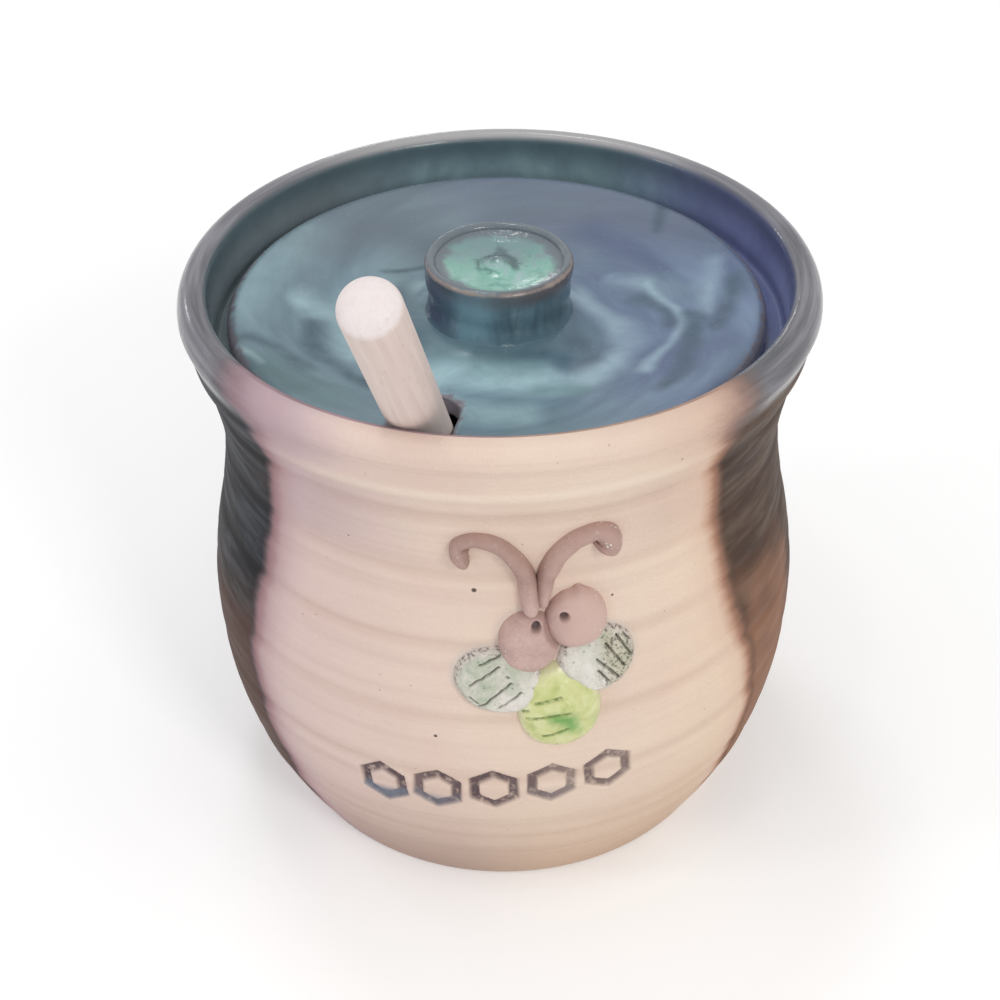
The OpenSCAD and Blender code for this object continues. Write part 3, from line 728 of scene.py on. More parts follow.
def stroke(points, route, width):
    """How much each point lies under a brush stroke along a route: 1 in its middle, 0 past its width."""
    near = np.full(len(points), 1e9)
    route = np.asarray(route, float)
    for a, b in zip(route, route[1:]):
        line = b - a
        t = np.clip(((points - a) @ line) / (line @ line), 0, 1)
        near = np.minimum(near, np.linalg.norm(points - (a + t[:, None] * line), axis=1))
    return ease(1 - near / width)


# The pot

# Iron spots in the clay: turn, depth below the crest, radius
IRON_SPOTS = [(-5.6, 30.5, 0.55), (-12.7, 59.0, 0.4), (20.5, 34.0, 0.28), (-30.0, 24.0, 0.22),
              (31.0, 8.0, 0.25)]

# The edge of the bare clay panel: depth below the crest, turn on the left, turn on the right
PANEL = np.array([(0, 53, 43), (8, 46, 41.5), (14, 45.5, 41), (22, 48, 43.5), (30, 50.3, 45), (38, 52, 46.5),
                  (49, 54, 49), (60, 55, 53), (72, 52.5, 55), (84, 49, 53), (104, 46, 50)], float)
GLAZE_FOOT = 5.0
PANEL_CAP = 40.0

POT_STEP, STAMP_STEP = 0.55, 0.32
STAMP_LOW, STAMP_HIGH = 26.0, 41.5
POT_START = 26.0
# The lip rises a little in front: how much, and over how much of a turn
LIP_LIFT, LIP_LIFT_TURN = 0.5, 55
POT_SECTORS = [(56, 152), (304, 142)]


def pot_profile():
    bevel = [(FOOT_R + FOOT_BEVEL * math.sin(a), FOOT_BEVEL * (1 - math.cos(a)))
             for a in np.linspace(0, math.pi / 2, 5)[:-1]]
    heights = [FOOT_BEVEL]
    while heights[-1] < LIP_Z - POT_STEP:
        z = heights[-1]
        heights.append(z + (STAMP_STEP if STAMP_LOW < z < STAMP_HIGH else POT_STEP))
    wall = [(float(outer_r(z)), z) for z in heights]
    quarter = np.linspace(0, math.pi / 2, 13)
    lip = [(CREST_R + LIP_OUT * math.cos(a), LIP_Z + LIP_RISE * math.sin(a)) for a in quarter]
    lip += [(CREST_R - LIP_IN * math.sin(a), POT_H - LIP_IN * (1 - math.cos(a))) for a in quarter[1:]]
    under_z = LEDGE_Z - LEDGE_T
    root_z = under_z - LEDGE_SLOPE
    gallery = rounded([(*lip[-1], 0), (GALLERY_R, LEDGE_Z, 0.9), (LEDGE_R, LEDGE_Z, 0.7),
                       (LEDGE_R, under_z, 0.7), (float(smooth_r(root_z)) - WALL, root_z, 0)])
    low_z = FLOOR_T + FLOOR_FILLET
    inner = [(float(smooth_r(z)) - WALL, z) for z in np.linspace(root_z, low_z, 46)[1:]]
    inner_r = inner[-1][0]
    fillet = [(inner_r - FLOOR_FILLET * (1 - math.cos(a)), FLOOR_T + FLOOR_FILLET * (1 - math.sin(a)))
              for a in np.linspace(0, math.pi / 2, 10)[1:]]
    return (divided([(0.0, 0.0), (FOOT_R, 0.0)], 8) + bevel[1:] + wall + lip[:-1]
            + divided(gallery, 0.9) + inner + fillet
            + divided([fillet[-1], (0.0, FLOOR_T)], 3)[1:])


def make_pot(finish):
    """The pot: thrown, marked by the fingers, stamped, and painted with where its glaze lies."""
    piece = lathe("pot_thrown", pot_profile(), POT_SECTORS, POT_START)
    p = places(piece)
    turn, r, z = np.degrees(np.arctan2(p[:, 0], -p[:, 1])), np.hypot(p[:, 0], p[:, 1]), p[:, 2]
    inner = np.where(z < LEDGE_Z, r < smooth_r(z) - WALL * 0.5, r < CREST_R - 1e-3) & (z > FLOOR_T - 0.5)
    side = ~inner & (z > FOOT_BEVEL * 0.5) & (r > FOOT_R)

    fade = ease((z - 1) / 6) * ease((POT_H - 6 - z) / 4)
    marks = np.where(side, finger_marks(z, turn) * fade, 0)
    inside_marks = 0.16 * np.sin(2 * math.pi * (z / 6.5 + turn / 360)) * ease((LEDGE_Z - 9 - z) / 8)
    marks = marks + np.where(inner & (z > FLOOR_T + 1), inside_marks, 0)

    ink, pool, dent = stamps(turn, z)
    ink, pool, dent = (np.where(side, values, 0) for values in (ink, pool, dent))
    swell = np.where(side, bee_bed(turn, z), 0)
    grown = r + marks - dent + swell
    scale = np.where(r > 1e-6, grown / np.maximum(r, 1e-6), 1)
    wobble = LIP_LIFT * np.exp(-(turn / LIP_LIFT_TURN) ** 2) * ease((z - 90) / 12)
    set_places(piece, np.column_stack([p[:, 0] * scale, p[:, 1] * scale, z + wobble]))

    depth = POT_H - z
    left, right = (np.interp(depth, PANEL[:, 0], PANEL[:, column]) for column in (1, 2))
    reach = np.where(turn < 0, left, right)
    edge = np.minimum(np.radians(np.abs(turn) - reach) * r, PANEL_CAP)
    edge = np.where(inner, np.maximum(edge, (CREST_R - r) + depth - 1.7), np.minimum(edge, z - GLAZE_FOOT))
    paint(piece, "edge", edge)
    paint(piece, "inside", np.where(inner, (CREST_R - r) + depth, 0))
    paint(piece, "crest", np.minimum(np.hypot(r - CREST_R, depth), 20))
    paint(piece, "ridge", np.where(side, marks + relief(z), 0))
    paint(piece, "ink", ink)
    paint(piece, "pool", pool)
    paint(piece, "smear", np.where(side, bee_smear(turn, z), 0))
    return finish_piece(piece, "pot", ["pot_body"], finish, 50)


# How each cell was pressed: lean in degrees, share of the depth on its left and on its right
CELL_PRESSES = [(4, 1.0, 0.95), (-3, 0.75, 1.0), (2, 1.0, 0.8), (-1, 0.85, 0.6), (5, 0.8, 0.7)]


def stamps(turn, z):
    """Stain, pooled glaze and depth of the stamped row of six-sided cells."""
    ink, pool, dent = np.zeros(len(z)), np.zeros(len(z)), np.zeros(len(z))
    outer = CELL_R * math.cos(math.pi / 6)
    for i, (lean, left, right) in enumerate(CELL_PRESSES[:CELL_COUNT]):
        step = i - (CELL_COUNT - 1) / 2
        cell_z = POT_H - CELL_DEPTH_DOWN + step * CELL_RISE
        slope = (smooth_r(cell_z + 1) - smooth_r(cell_z - 1)) / 2
        u = np.radians(turn - CELL_TURN - step * CELL_PITCH) * float(smooth_r(cell_z))
        v = (z - cell_z) * math.hypot(1, slope)
        a = math.radians(lean)
        u, v = u * math.cos(a) + v * math.sin(a), v * math.cos(a) - u * math.sin(a)
        sides = (0, math.pi / 3, -math.pi / 3)
        reach = np.max([np.abs(u * math.cos(b) + v * math.sin(b)) for b in sides], axis=0)
        middle = outer - CELL_LINE / 2
        line = ease((CELL_LINE / 2 + 0.28 - np.abs(reach - middle)) / 0.45)
        share = left + (right - left) * np.clip(u / CELL_R / 2 + 0.5, 0, 1)
        lip = np.exp(-((reach - outer - 0.75) / 0.4) ** 2)
        dent += CELL_PRESS * line * share - 0.07 * lip * (reach < outer + 2)
        ink = np.maximum(ink, line * np.clip(share * 1.15, 0, 1))
        low = ease((-v - 0.4) / 2.2) * ease((outer + 0.5 - reach) / 0.6)
        pool = np.maximum(pool, low * (1.0, 0.55, 0.0, 0.18, 0.0)[i])
    return ink, pool, dent


def bee_uv(turn, z):
    return np.radians(turn - BEE_TURN) * BELLY_R, z - POT_H + BEE_DEPTH


def bee_bed(turn, z):
    """The wall dents a little beside the pressed-on clay."""
    u, v = bee_uv(turn, z)
    total = np.zeros(len(z))
    for outline in OUTLINES.values():
        rho, _ = in_outline(outline, u, v)
        total -= 0.12 * np.exp(-((rho - 1.08) / 0.07) ** 2)
    return total


def bee_smear(turn, z):
    """Clear glaze that ran off the wings onto the clay round them."""
    u, v = bee_uv(turn, z)
    total = np.zeros(len(z))
    for name in ("wing_left", "wing_right"):
        rho, _ = in_outline(OUTLINES[name], u, v)
        total = np.maximum(total, 0.55 * ease((1.16 - rho) / 0.16))
    rho, _ = in_outline(OUTLINES["eye_left"], u + 0.5, v - 0.2)
    return np.maximum(total, 0.35 * ease((1.16 - rho) / 0.12))


# The lid and its knob

# Glaze swirls on the lid: route, width and strength
LID_PALE = [([(13.9, 5), (20, -4.7), (22.3, -10.7), (19.7, -17), (11, -23)], 4.4, 0.9),
            ([(20.5, 10.5), (26, 7.1)], 3.2, 0.6),
            ([(26, 7.1), (30.5, -1), (31.6, -5.7), (28.9, -12.9), (23.8, -20.1)], 1.9, 1.0),
            ([(38, 13), (37, 6)], 4.0, 0.6), ([(37, 6), (34.8, -3)], 2.4, 0.9),
            ([(-43, 0), (-41, 12), (-34, 24)], 9.0, 0.3), ([(-9, -20), (0, -20), (9, -22.5)], 7.5, 1.0),
            ([(-33, 4), (-27, -3), (-23, -14)], 5.5, 0.6), ([(-18, 10.5), (-13, 9)], 3.4, 0.6),
            ([(-43, -13), (-39, -19)], 1.3, 0.9), ([(-8, -31), (4, -33)], 6.0, 0.5)]
LID_DARK = [([(-31.6, -4.5), (-30.6, -10), (-28.8, -16), (-24, -21), (-18, -24.5)], 2.9, 1.0),
            ([(-41, -10.8), (-35.5, -13.5), (-31, -18)], 2.8, 0.8), ([(-40, -20), (-32, -25)], 5.0, 0.5),
            ([(42, 5), (39.5, -1), (36.3, -6.5)], 4.2, 0.85), ([(25, 3), (28.4, -2), (29, -6)], 3.2, 0.8),
            ([(33, -4), (33, -12), (31, -20), (25, -27)], 3.4, 0.9), ([(31, 34), (30, 24)], 2.4, 0.7),
            ([(-20, 14.2), (-16, 15.6), (-12.8, 16.5)], 1.5, 0.9),
            ([(14, -10), (16, -15), (12, -18)], 3.6, 0.7), ([(-17, 10), (-17, 0), (-13, -9)], 4.5, 0.6),
            ([(-3, -15), (8, -14)], 2.4, 0.5)]
LID_DEEP = [([(18, 27), (23, 20), (28, 13)], 7.5, 1.0), ([(40, 14), (43, 2)], 4.0, 0.6),
            ([(27, -22), (36, -14)], 6.0, 0.8)]
LID_SLATE = [([(-30, 21), (-20, 28), (-12, 23)], 9.0, 1.0), ([(-33, 15), (-33, 7)], 5.5, 0.6),
             ([(0, 36), (16, 33)], 8.0, 0.5)]
LID_GREEN = [([(6, -24.5), (12, -25)], 4.0, 0.9), ([(-38, -20), (-27, -28)], 7.0, 0.8),
             ([(-4, -17), (6, -18)], 4.0, 0.6)]
LID_SWIRLS = {"pale": LID_PALE, "dark": LID_DARK, "deep": LID_DEEP, "slate": LID_SLATE, "green": LID_GREEN}
# The lid's top swells to the knob: where the swelling starts under the knob, and how far it runs out
COLLAR_START, COLLAR_REACH = 1.4, 2.8
LID_VOXEL = 0.46


def dish_z(r):
    share = np.clip((r - KNOB_SEAT_R) / (LID_DISH_R - KNOB_SEAT_R), 0, 1.2)
    fall = np.exp(-(np.maximum(r - KNOB_R, 0) / COLLAR_REACH) ** 2)
    collar = KNOB_COLLAR * fall * ease((r - KNOB_R + COLLAR_START) / 0.8)
    return KNOB_SEAT_Z + LID_DISH * share ** DISH_POWER + collar


def notch_distance(x, y):
    """Distance from the edge of the dipper's notch, positive on the lid's side."""
    u, v = (((x - NOTCH_END[0]) * way[0] + (y - NOTCH_END[1]) * way[1]) for way in (NOTCH_ACROSS, NOTCH_OUT))
    return np.where(v > 0, np.abs(u), np.hypot(u, v)) - NOTCH_W / 2


def lid_profile():
    under = [(LID_SEAT_R * s, LEDGE_Z - LID_BELLY * (1 - s * s)) for s in np.linspace(0, 1, 13)]
    edge = [(LID_DISH_R + LID_ROUND * math.cos(a), LEDGE_Z + LID_ROUND * (1 + math.sin(a)))
            for a in np.linspace(-math.pi / 2, math.pi / 2, 13)]
    top = [(float(r), float(dish_z(r))) for r in np.linspace(LID_DISH_R, KNOB_R - COLLAR_START, 31)[1:]]
    return under + edge + top + [(0.0, KNOB_SEAT_Z)]


def notch_cutter():
    """A round-ended slot that runs from under the handle out past the lid's edge."""
    clear_selection()
    middle = Vector((NOTCH_END[0], NOTCH_END[1], (LEDGE_Z + LID_TOP_Z) / 2)) * MM
    bpy.ops.mesh.primitive_cylinder_add(vertices=64, radius=NOTCH_W / 2 * MM, depth=16 * MM, location=middle)
    cutter = bpy.context.object
    bpy.ops.object.transform_apply()
    p = places(cutter)
    outwards = (p[:, :2] - NOTCH_END) @ NOTCH_OUT > 1e-4
    edit(cutter)
    bpy.ops.mesh.select_all(action="DESELECT")
    done()
    cutter.data.vertices.foreach_set("select", outwards)
    bpy.ops.object.mode_set(mode="EDIT")
    bpy.ops.transform.translate(value=(*(NOTCH_OUT * LID_R * MM), 0))
    done()
    return cutter


def make_lid(finish):
    """The lid: a turned dish with the notch cut and sponged round, then its glaze swirls are laid on."""
    piece = lathe("lid_glazed", lid_profile(), [(360, 180)])
    set_places(piece, places(piece) + (LID_SHIFT, 0, 0))
    cutter = notch_cutter()
    apply_modifier(piece, "BOOLEAN", object=cutter, operation="DIFFERENCE", solver="EXACT")
    bpy.data.objects.remove(cutter)
    apply_modifier(piece, "REMESH", mode="VOXEL", voxel_size=LID_VOXEL * MM)
    apply_modifier(piece, "SMOOTH", factor=0.5, iterations=5)
    face_outwards(piece)

    p = places(piece)
    normals = np.empty(len(p) * 3, np.float32)
    piece.data.vertices.foreach_get("normal", normals)
    up = normals.reshape(-1, 3)[:, 2]
    x, y = p[:, 0] - LID_SHIFT, p[:, 1]
    r, turn = np.hypot(x, y), np.degrees(np.arctan2(x, -y))
    from_notch = notch_distance(p[:, 0], p[:, 1])
    over = np.clip(r - LID_DISH_R, 0, LID_ROUND)
    top = np.where(r < LID_DISH_R, dish_z(r), LEDGE_Z + LID_ROUND + np.sqrt(LID_ROUND ** 2 - over ** 2))
    near = np.clip(NOTCH_EDGE - from_notch, 0, NOTCH_EDGE)
    top = top - (NOTCH_EDGE - np.sqrt(NOTCH_EDGE ** 2 - near ** 2))
    spiral = 0.02 * np.sin(2 * math.pi * (r / 7.4 - turn / 360)) * ease((r - 15) / 4)
    spiral = spiral * ease((LID_DISH_R - r) / 4)
    bottom = LEDGE_Z - LID_BELLY * (1 - (r / LID_SEAT_R) ** 2)
    under = (up < -0.6) & (r < LID_SEAT_R - 1) & (from_notch > 1)
    z = np.where(up > 0.45, top + spiral, np.where(under, bottom, p[:, 2]))
    set_places(piece, np.column_stack([p[:, 0], p[:, 1], z]))
    apply_modifier(piece, "SMOOTH", factor=0.5, iterations=2)

    p = places(piece)
    flat = np.column_stack([p[:, 0] - LID_SHIFT, p[:, 1]])
    bent = flat + 0.55 * np.column_stack([np.sin(flat[:, 1] / 3.1) + np.sin(flat[:, 0] / 1.7 + 2),
                                         np.sin(flat[:, 0] / 2.7 + 1) + np.sin(flat[:, 1] / 2.1)])
    for name, strokes in LID_SWIRLS.items():
        laid = [strength * stroke(bent, route, width) for route, width, strength in strokes]
        paint(piece, name, np.max(laid, axis=0))
    rim = np.minimum(LID_R - np.hypot(flat[:, 0], flat[:, 1]), notch_distance(p[:, 0], p[:, 1]) + 0.6)
    paint(piece, "rim", np.clip(rim, 0, 10))
    return finish_piece(piece, "lid", ["lid_disc"], finish, 60)


def make_knob(finish):
    """The knob: a squat turned cup with a nib in its hollow, its lip a little uneven."""
    waist = KNOB_R - KNOB_WAIST
    bowl_r = KNOB_R - 2 * KNOB_LIP
    flare = [(waist + (KNOB_FOOT_R - waist) * (1 - math.sin(a)), KNOB_FLARE_H * (1 - math.cos(a)))
             for a in np.linspace(0, math.pi / 2, 13)]
    side_h = KNOB_H - KNOB_LIP - KNOB_FLARE_H
    side = [(waist + KNOB_WAIST * (1 - math.cos(math.pi * t)) / 2, KNOB_FLARE_H + side_h * t)
            for t in np.linspace(0, 1, 12)[1:]]
    crown = [(KNOB_R - KNOB_LIP * (1 - math.cos(a)), KNOB_H - KNOB_LIP * (1 - math.sin(a)))
             for a in np.linspace(0, math.pi, 17)[1:]]
    nib_foot = NIB_R + 1.2
    fall = KNOB_DISH - KNOB_LIP
    bowl = [(bowl_r + (nib_foot - bowl_r) * t, KNOB_H - KNOB_LIP - fall * math.sin(math.pi / 2 * t))
            for t in np.linspace(0, 1, 14)[1:]]
    nib = [(nib_foot * (1 - t), KNOB_H - KNOB_DISH + NIB_H * float(ease(t)))
           for t in np.linspace(0, 1, 12)[1:]]
    profile = [(0.0, 0.0)] + flare + side + crown + bowl + nib
    piece = lathe("knob_glazed", [(r, z + KNOB_SEAT_Z) for r, z in profile], [(360, 192)])
    p = places(piece)
    r, turn = np.hypot(p[:, 0], p[:, 1]), np.arctan2(p[:, 0], -p[:, 1])
    height = p[:, 2] - KNOB_SEAT_Z
    uneven = 0.1 * np.sin(2 * turn + 0.5) + 0.06 * np.sin(5 * turn + 2) + 0.12 * np.sin(height * 1.3 + turn)
    scale = 1 + uneven * ease((height - 1) / 3) * ease((r - 3) / 4) / np.maximum(r, 1)
    hollow = (height > KNOB_H - KNOB_DISH - 0.5) & (r < bowl_r)
    ripple = 0.03 * np.sin(2 * math.pi * r / 3.1 - turn) * ease((r - 1) / 2) * ease((bowl_r - r) / 2)
    ripple = np.where(hollow, ripple, 0)
    set_places(piece, np.column_stack([p[:, 0] * scale + KNOB_SHIFT, p[:, 1] * scale, p[:, 2] + ripple]))
    return finish_piece(piece, "lid", ["lid_knob"], finish, 60)


# The dipper

def set_on_dipper(piece):
    """Moves a piece made upright on the origin onto the leaning dipper."""
    piece.data.transform(Matrix.Translation(DIPPER_END * MM) @ DIPPER_TURN.to_4x4())


def make_handle(finish):
    start = HEAD_LEN - SOCKET_DEPTH
    shaft = [(0.0, start), (HANDLE_R - 0.4, start), (HANDLE_R, start + 0.4)]
    shaft = shaft[:2] + divided([shaft[2], (HANDLE_R, CAP_START)], 4)
    quarter = np.linspace(0, math.pi / 2, 19)[1:-1]
    cap = [(HANDLE_R * math.cos(a) ** CAP_BLUNT, CAP_START + CAP_RISE * math.sin(a) ** CAP_BLUNT)
           for a in quarter]
    piece = lathe("handle_turned", shaft + cap + [(0.0, CAP_START + CAP_RISE)], [(360, 96)])
    p = places(piece)
    uneven = 1 + 0.004 * np.sin(p[:, 2] / 9) + 0.003 * np.sin(3 * np.arctan2(p[:, 1], p[:, 0]) + p[:, 2] / 21)
    set_places(piece, p * np.column_stack([uneven, uneven, np.ones(len(p))]))
    set_on_dipper(piece)
    return finish_piece(piece, "dipper", ["dipper_handle"], finish, 50)


def make_head(finish):
    """The grooved head: a turned barrel of ribs with sanded edges and a socket for the handle."""
    def barrel(s):
        return HEAD_R * math.sqrt(1 - ((s - HEAD_LEN / 2) / (0.62 * HEAD_LEN)) ** 2)
    rib = (HEAD_LEN - GROOVE_COUNT * GROOVE_W) / (GROOVE_COUNT + 1)
    corners = [(0.0, 0.0, 0)]
    for i in range(GROOVE_COUNT + 1):
        low = i * (rib + GROOVE_W)
        high = low + rib
        corners += [(barrel(low), low, 0.8), (barrel(high), high, 0.8)]
        if i < GROOVE_COUNT:
            corners += [(CORE_R, high, 0.6), (CORE_R, high + GROOVE_W, 0.6)]
    socket_r = HANDLE_R + SOCKET_GAP
    corners += [(socket_r, HEAD_LEN, 0.3), (socket_r, HEAD_LEN - SOCKET_DEPTH, 0),
                (0.0, HEAD_LEN - SOCKET_DEPTH, 0)]
    piece = lathe("head_turned", divided(rounded(corners, 5), 2.5), [(360, 128)])
    set_on_dipper(piece)
    return finish_piece(piece, "dipper", ["dipper_head"], finish, 45)


# The bee: outlines as (middle), (half width, half height), lean, taper
OUTLINES = {"eye_left": ((-4.3, -1.6), (5.3, 5.3), 0, 0),
            "eye_right": ((3.9, 1.8), (5.5, 5.3), 0, 0),
            "abdomen": ((0.5, -14.3), (7.1, 8.2), 8, -0.12),
            "wing_left": ((-9.4, -9.0), (7.9, 5.8), -14, 0),
            "wing_right": ((7.2, -6.6), (7.0, 6.0), 8, 0)}
HEIGHTS = {"eye_left": 3.0, "eye_right": 3.1, "abdomen": 3.0, "wing_left": 1.8, "wing_right": 1.8}
HOLES = {"eye_left": (-3.3, 2.0), "eye_right": (1.4, 3.7)}
CUTS = {
    "wing_left": [((-14.2, -9.1), (-9.4, -5.5)), ((-12.6, -5.4), (-9.2, -3.9)),
                  ((-12.7, -13.0), (-7.5, -8.5)), ((-9.5, -13.2), (-5.9, -10.2)),
                  ((-14.2, -11.3), (-12.9, -12.4)), ((-8.1, -7.3), (-7.9, -7.5))],
    "wing_right": [((6.8, -5.9), (10.3, -9.7)), ((8.6, -3.6), (11.6, -8.3)), ((10.6, -2.6), (12.9, -6.6)),
                   ((6.9, -8.0), (8.8, -10.6)), ((12.0, -2.8), (12.8, -4.0))],
    "abdomen": [((-3.6, -12.2), (0.3, -11.0)), ((-5.0, -15.3), (1.5, -13.6)),
                ((-2.5, -18.8), (1.4, -17.5)), ((-5.6, -14.1), (-4.9, -13.8))]}
PAT_CELLS = {"eye_left": 110, "eye_right": 110, "abdomen": 120, "wing_left": 110, "wing_right": 110}
# Where the glass swells: (across, up, width, rise)
SWELLINGS = {"abdomen": [(1.5, -12.6, 1.7, 0.95)],
             "wing_right": [(2.6, -7.4, 1.5, 0.5), (10.5, -9.6, 1.3, 0.35)],
             "wing_left": [(-5.6, -11.6, 1.5, 0.45), (-11.5, -12.0, 1.6, 0.35)]}
CUT_W = {"wing_left": 0.14, "wing_right": 0.14, "abdomen": 0.22}
# How far each edge wanders from its round, as a share of its width
LOOSE = {"eye_left": 0.008, "eye_right": 0.008, "abdomen": 0.012, "wing_left": 0.03, "wing_right": 0.035}
# How full each dome is: the powers inside and outside of its arc
FULL = {"eye_left": (3.5, 0.46), "eye_right": (3.5, 0.46), "abdomen": (2.1, 0.58),
        "wing_left": (4.5, 0.5), "wing_right": (4.5, 0.5)}
SUNK = 0.25


def in_outline(outline, u, v):
    """Share of the way from the outline's middle to its edge, and the direction."""
    (mu, mv), (half_u, half_v), lean, taper = outline
    c, s = math.cos(math.radians(lean)), math.sin(math.radians(lean))
    x, y = ((u - mu) * c + (v - mv) * s), ((v - mv) * c - (u - mu) * s)
    y = y / half_v
    x = x / (half_u * (1 + taper * np.clip(y, -1, 1)))
    return np.hypot(x, y), np.arctan2(y, x)


def pat_of_clay(name, cells):
    """A flat round pat: a fine square grid drawn into a disc, its border pressed to one point behind."""
    clear_selection()
    bpy.ops.mesh.primitive_grid_add(x_subdivisions=cells, y_subdivisions=cells, size=2, location=(0, 0, 0))
    piece = bpy.context.object
    piece.name = name
    bpy.ops.object.mode_set(mode="EDIT")
    bpy.ops.mesh.select_all(action="DESELECT")
    bpy.ops.mesh.select_mode(type="EDGE")
    bpy.ops.mesh.select_non_manifold()
    bpy.ops.mesh.extrude_region_move(TRANSFORM_OT_translate={"value": (0, 0, -1)})
    bpy.ops.mesh.merge(type="COLLAPSE")
    bpy.ops.mesh.select_mode(type="VERT")
    done()
    p = np.empty(len(piece.data.vertices) * 3, np.float32)
    piece.data.vertices.foreach_get("co", p)
    p = p.reshape(-1, 3).astype(float)
    x, y = p[:, 0], p[:, 1]
    return piece, x * np.sqrt(1 - y * y / 2), y * np.sqrt(1 - x * x / 2), p[:, 2] < -0.5


def make_lump(name, finish, seed):
    """One of the bee's pressed lumps: domed, a little lumpy, with its hole or scratches."""
    (mu, mv), (half_u, half_v), lean, taper = OUTLINES[name]
    piece, x, y, behind = pat_of_clay(name + "_modelled", PAT_CELLS[name])
    rho, way = np.hypot(x, y), np.arctan2(y, x)
    rng = np.random.default_rng(seed)
    wander = sum(rng.uniform(-1, 1) / k ** 1.5 * np.sin(k * way + rng.uniform(0, 6.28)) for k in range(2, 9))
    grow = 1 + LOOSE[name] * wander
    if name == "eye_right":
        grow = grow + 0.1 * np.exp(-((np.degrees(way) - 84) / 9) ** 2)
    ex, ey = x * half_u * (1 + taper * y) * grow, y * half_v * grow
    c, s = math.cos(math.radians(lean)), math.sin(math.radians(lean))
    u, v = mu + ex * c - ey * s, mv + ex * s + ey * c

    inside, outside = FULL[name]
    dome = HEIGHTS[name] * np.clip(1 - rho ** inside, 0, 1) ** outside
    lumpy = 0.06 * np.sin(u * 1.3 + seed) * np.sin(v * 1.1 + 2 * seed)
    lumpy = lumpy + 0.025 * np.sin(u * 3.1) * np.sin(v * 3.7)
    body = ease((1 - rho) / 0.2)
    if name.startswith("wing"):
        lumpy = lumpy * 1.8 + 0.09 * np.sin(u * 2.3 + v * 1.9 + seed)
    height = dome + lumpy * body
    for at_u, at_v, wide, rise in SWELLINGS.get(name, []):
        height = height + rise * np.exp(-((u - at_u) ** 2 + (v - at_v) ** 2) / wide ** 2) * body
    if name == "eye_left":
        over, _ = in_outline(OUTLINES["eye_right"], u, v)
        height = height * (0.5 + 0.5 * ease((over - 0.98) / 0.14) ** 0.7)
    flat = np.column_stack([u, v])
    marks = {mark: np.zeros(len(u)) for mark in ("hole", "cut", "crumbs", "pool", "flecks", "milk")}
    if name == "wing_right":
        marks["flecks"] = ease((u - 5.5) / 4)
        marks["milk"] = stroke(flat, [(0.5, -4.5), (4.5, -5.5), (6.5, -10.5)], 4.5)
    if name == "wing_left":
        marks["milk"] = stroke(flat, [(-9.5, -14), (-4.0, -10.5), (-2.5, -8.5)], 4.0)
    if name in HOLES:
        away = np.hypot(u - HOLES[name][0], (v - HOLES[name][1]) * 0.95)
        height = height - 1.4 * ease((0.95 - away) / 0.45) + 0.1 * np.exp(-((away - 1.2) / 0.25) ** 2)
        # The hole's painted shade, which the brown clay reads
        marks["hole"] = ease((0.85 - away) / 0.35) * 0.85
        marks["crumbs"] = ease((u - 5.5) / 3) * 0.9 if name == "eye_right" else 0.1 * np.ones(len(u))
    for a, b in CUTS.get(name, []):
        scratch = stroke(flat, [a, b], CUT_W[name] * 2.2)
        height = height - (0.5 if name != "abdomen" else 0.3) * ease(scratch * 1.3) * body
        marks["cut"] = np.maximum(marks["cut"], ease(stroke(flat, [a, b], CUT_W[name] * 1.9) * 1.4))
    if name == "abdomen":
        marks["pool"] = np.maximum(stroke(flat, [(-0.4, -15.0), (1.5, -15.2), (2.0, -17.0)], 2.4),
                                   0.5 * stroke(flat, [(0.8, -17.6), (3.2, -18.0)], 1.8))
    lift = np.where(behind, -2.2, np.where(rho > 0.9995, -SUNK, height - SUNK * ease((rho - 0.9) / 0.1)))
    set_places(piece, on_bee(u, v, lift))
    paint(piece, "border", ease((rho - 0.78) / 0.2))
    for key, values in marks.items():
        paint(piece, key, values)
    face_outwards(piece)
    return finish_piece(piece, "pot", ["bee_" + name], finish, 80)


ROUTES = {"left": [(-3.9, 4.2), (-4.3, 7.4), (-4.8, 10.8), (-6.9, 14.7), (-10.0, 17.8), (-13.3, 18.6),
                   (-15.7, 17.4), (-15.9, 15.9), (-15.2, 14.9), (-14.3, 14.9)],
          "right": [(-1.9, 4.4), (-1.5, 7.8), (-0.9, 11.2), (0.9, 14.8), (3.5, 17.5), (6.4, 18.6),
                    (8.4, 18.0), (9.3, 16.7), (9.2, 15.2), (9.0, 14.2)]}
# Half width along each antenna, from its base to its curl
WIDTHS = {"left": [1.5, 1.7, 1.7, 1.55, 1.45, 1.3, 1.35, 1.75, 2.0, 1.9],
          "right": [1.0, 1.4, 1.7, 1.75, 1.65, 1.6, 1.95, 2.3, 2.3, 1.9]}
ANTENNA_H = 2.4


def smooth_route(route, t):
    """Points of a smooth curve through the route, at t from 0 to its last index."""
    route = np.asarray(route, float)
    if route.ndim == 1:
        route = route[:, None]
    n = len(route) - 1
    i = np.clip(np.floor(t).astype(int), 0, n - 1)
    w = (t - i)[:, None]
    a, b, c, d = (route[np.clip(i + k, 0, n)] for k in (-1, 0, 1, 2))
    bend, twist = 2 * a - 5 * b + 4 * c - d, 3 * b - a - 3 * c + d
    return 0.5 * (2 * b + (c - a) * w + bend * w ** 2 + twist * w ** 3)


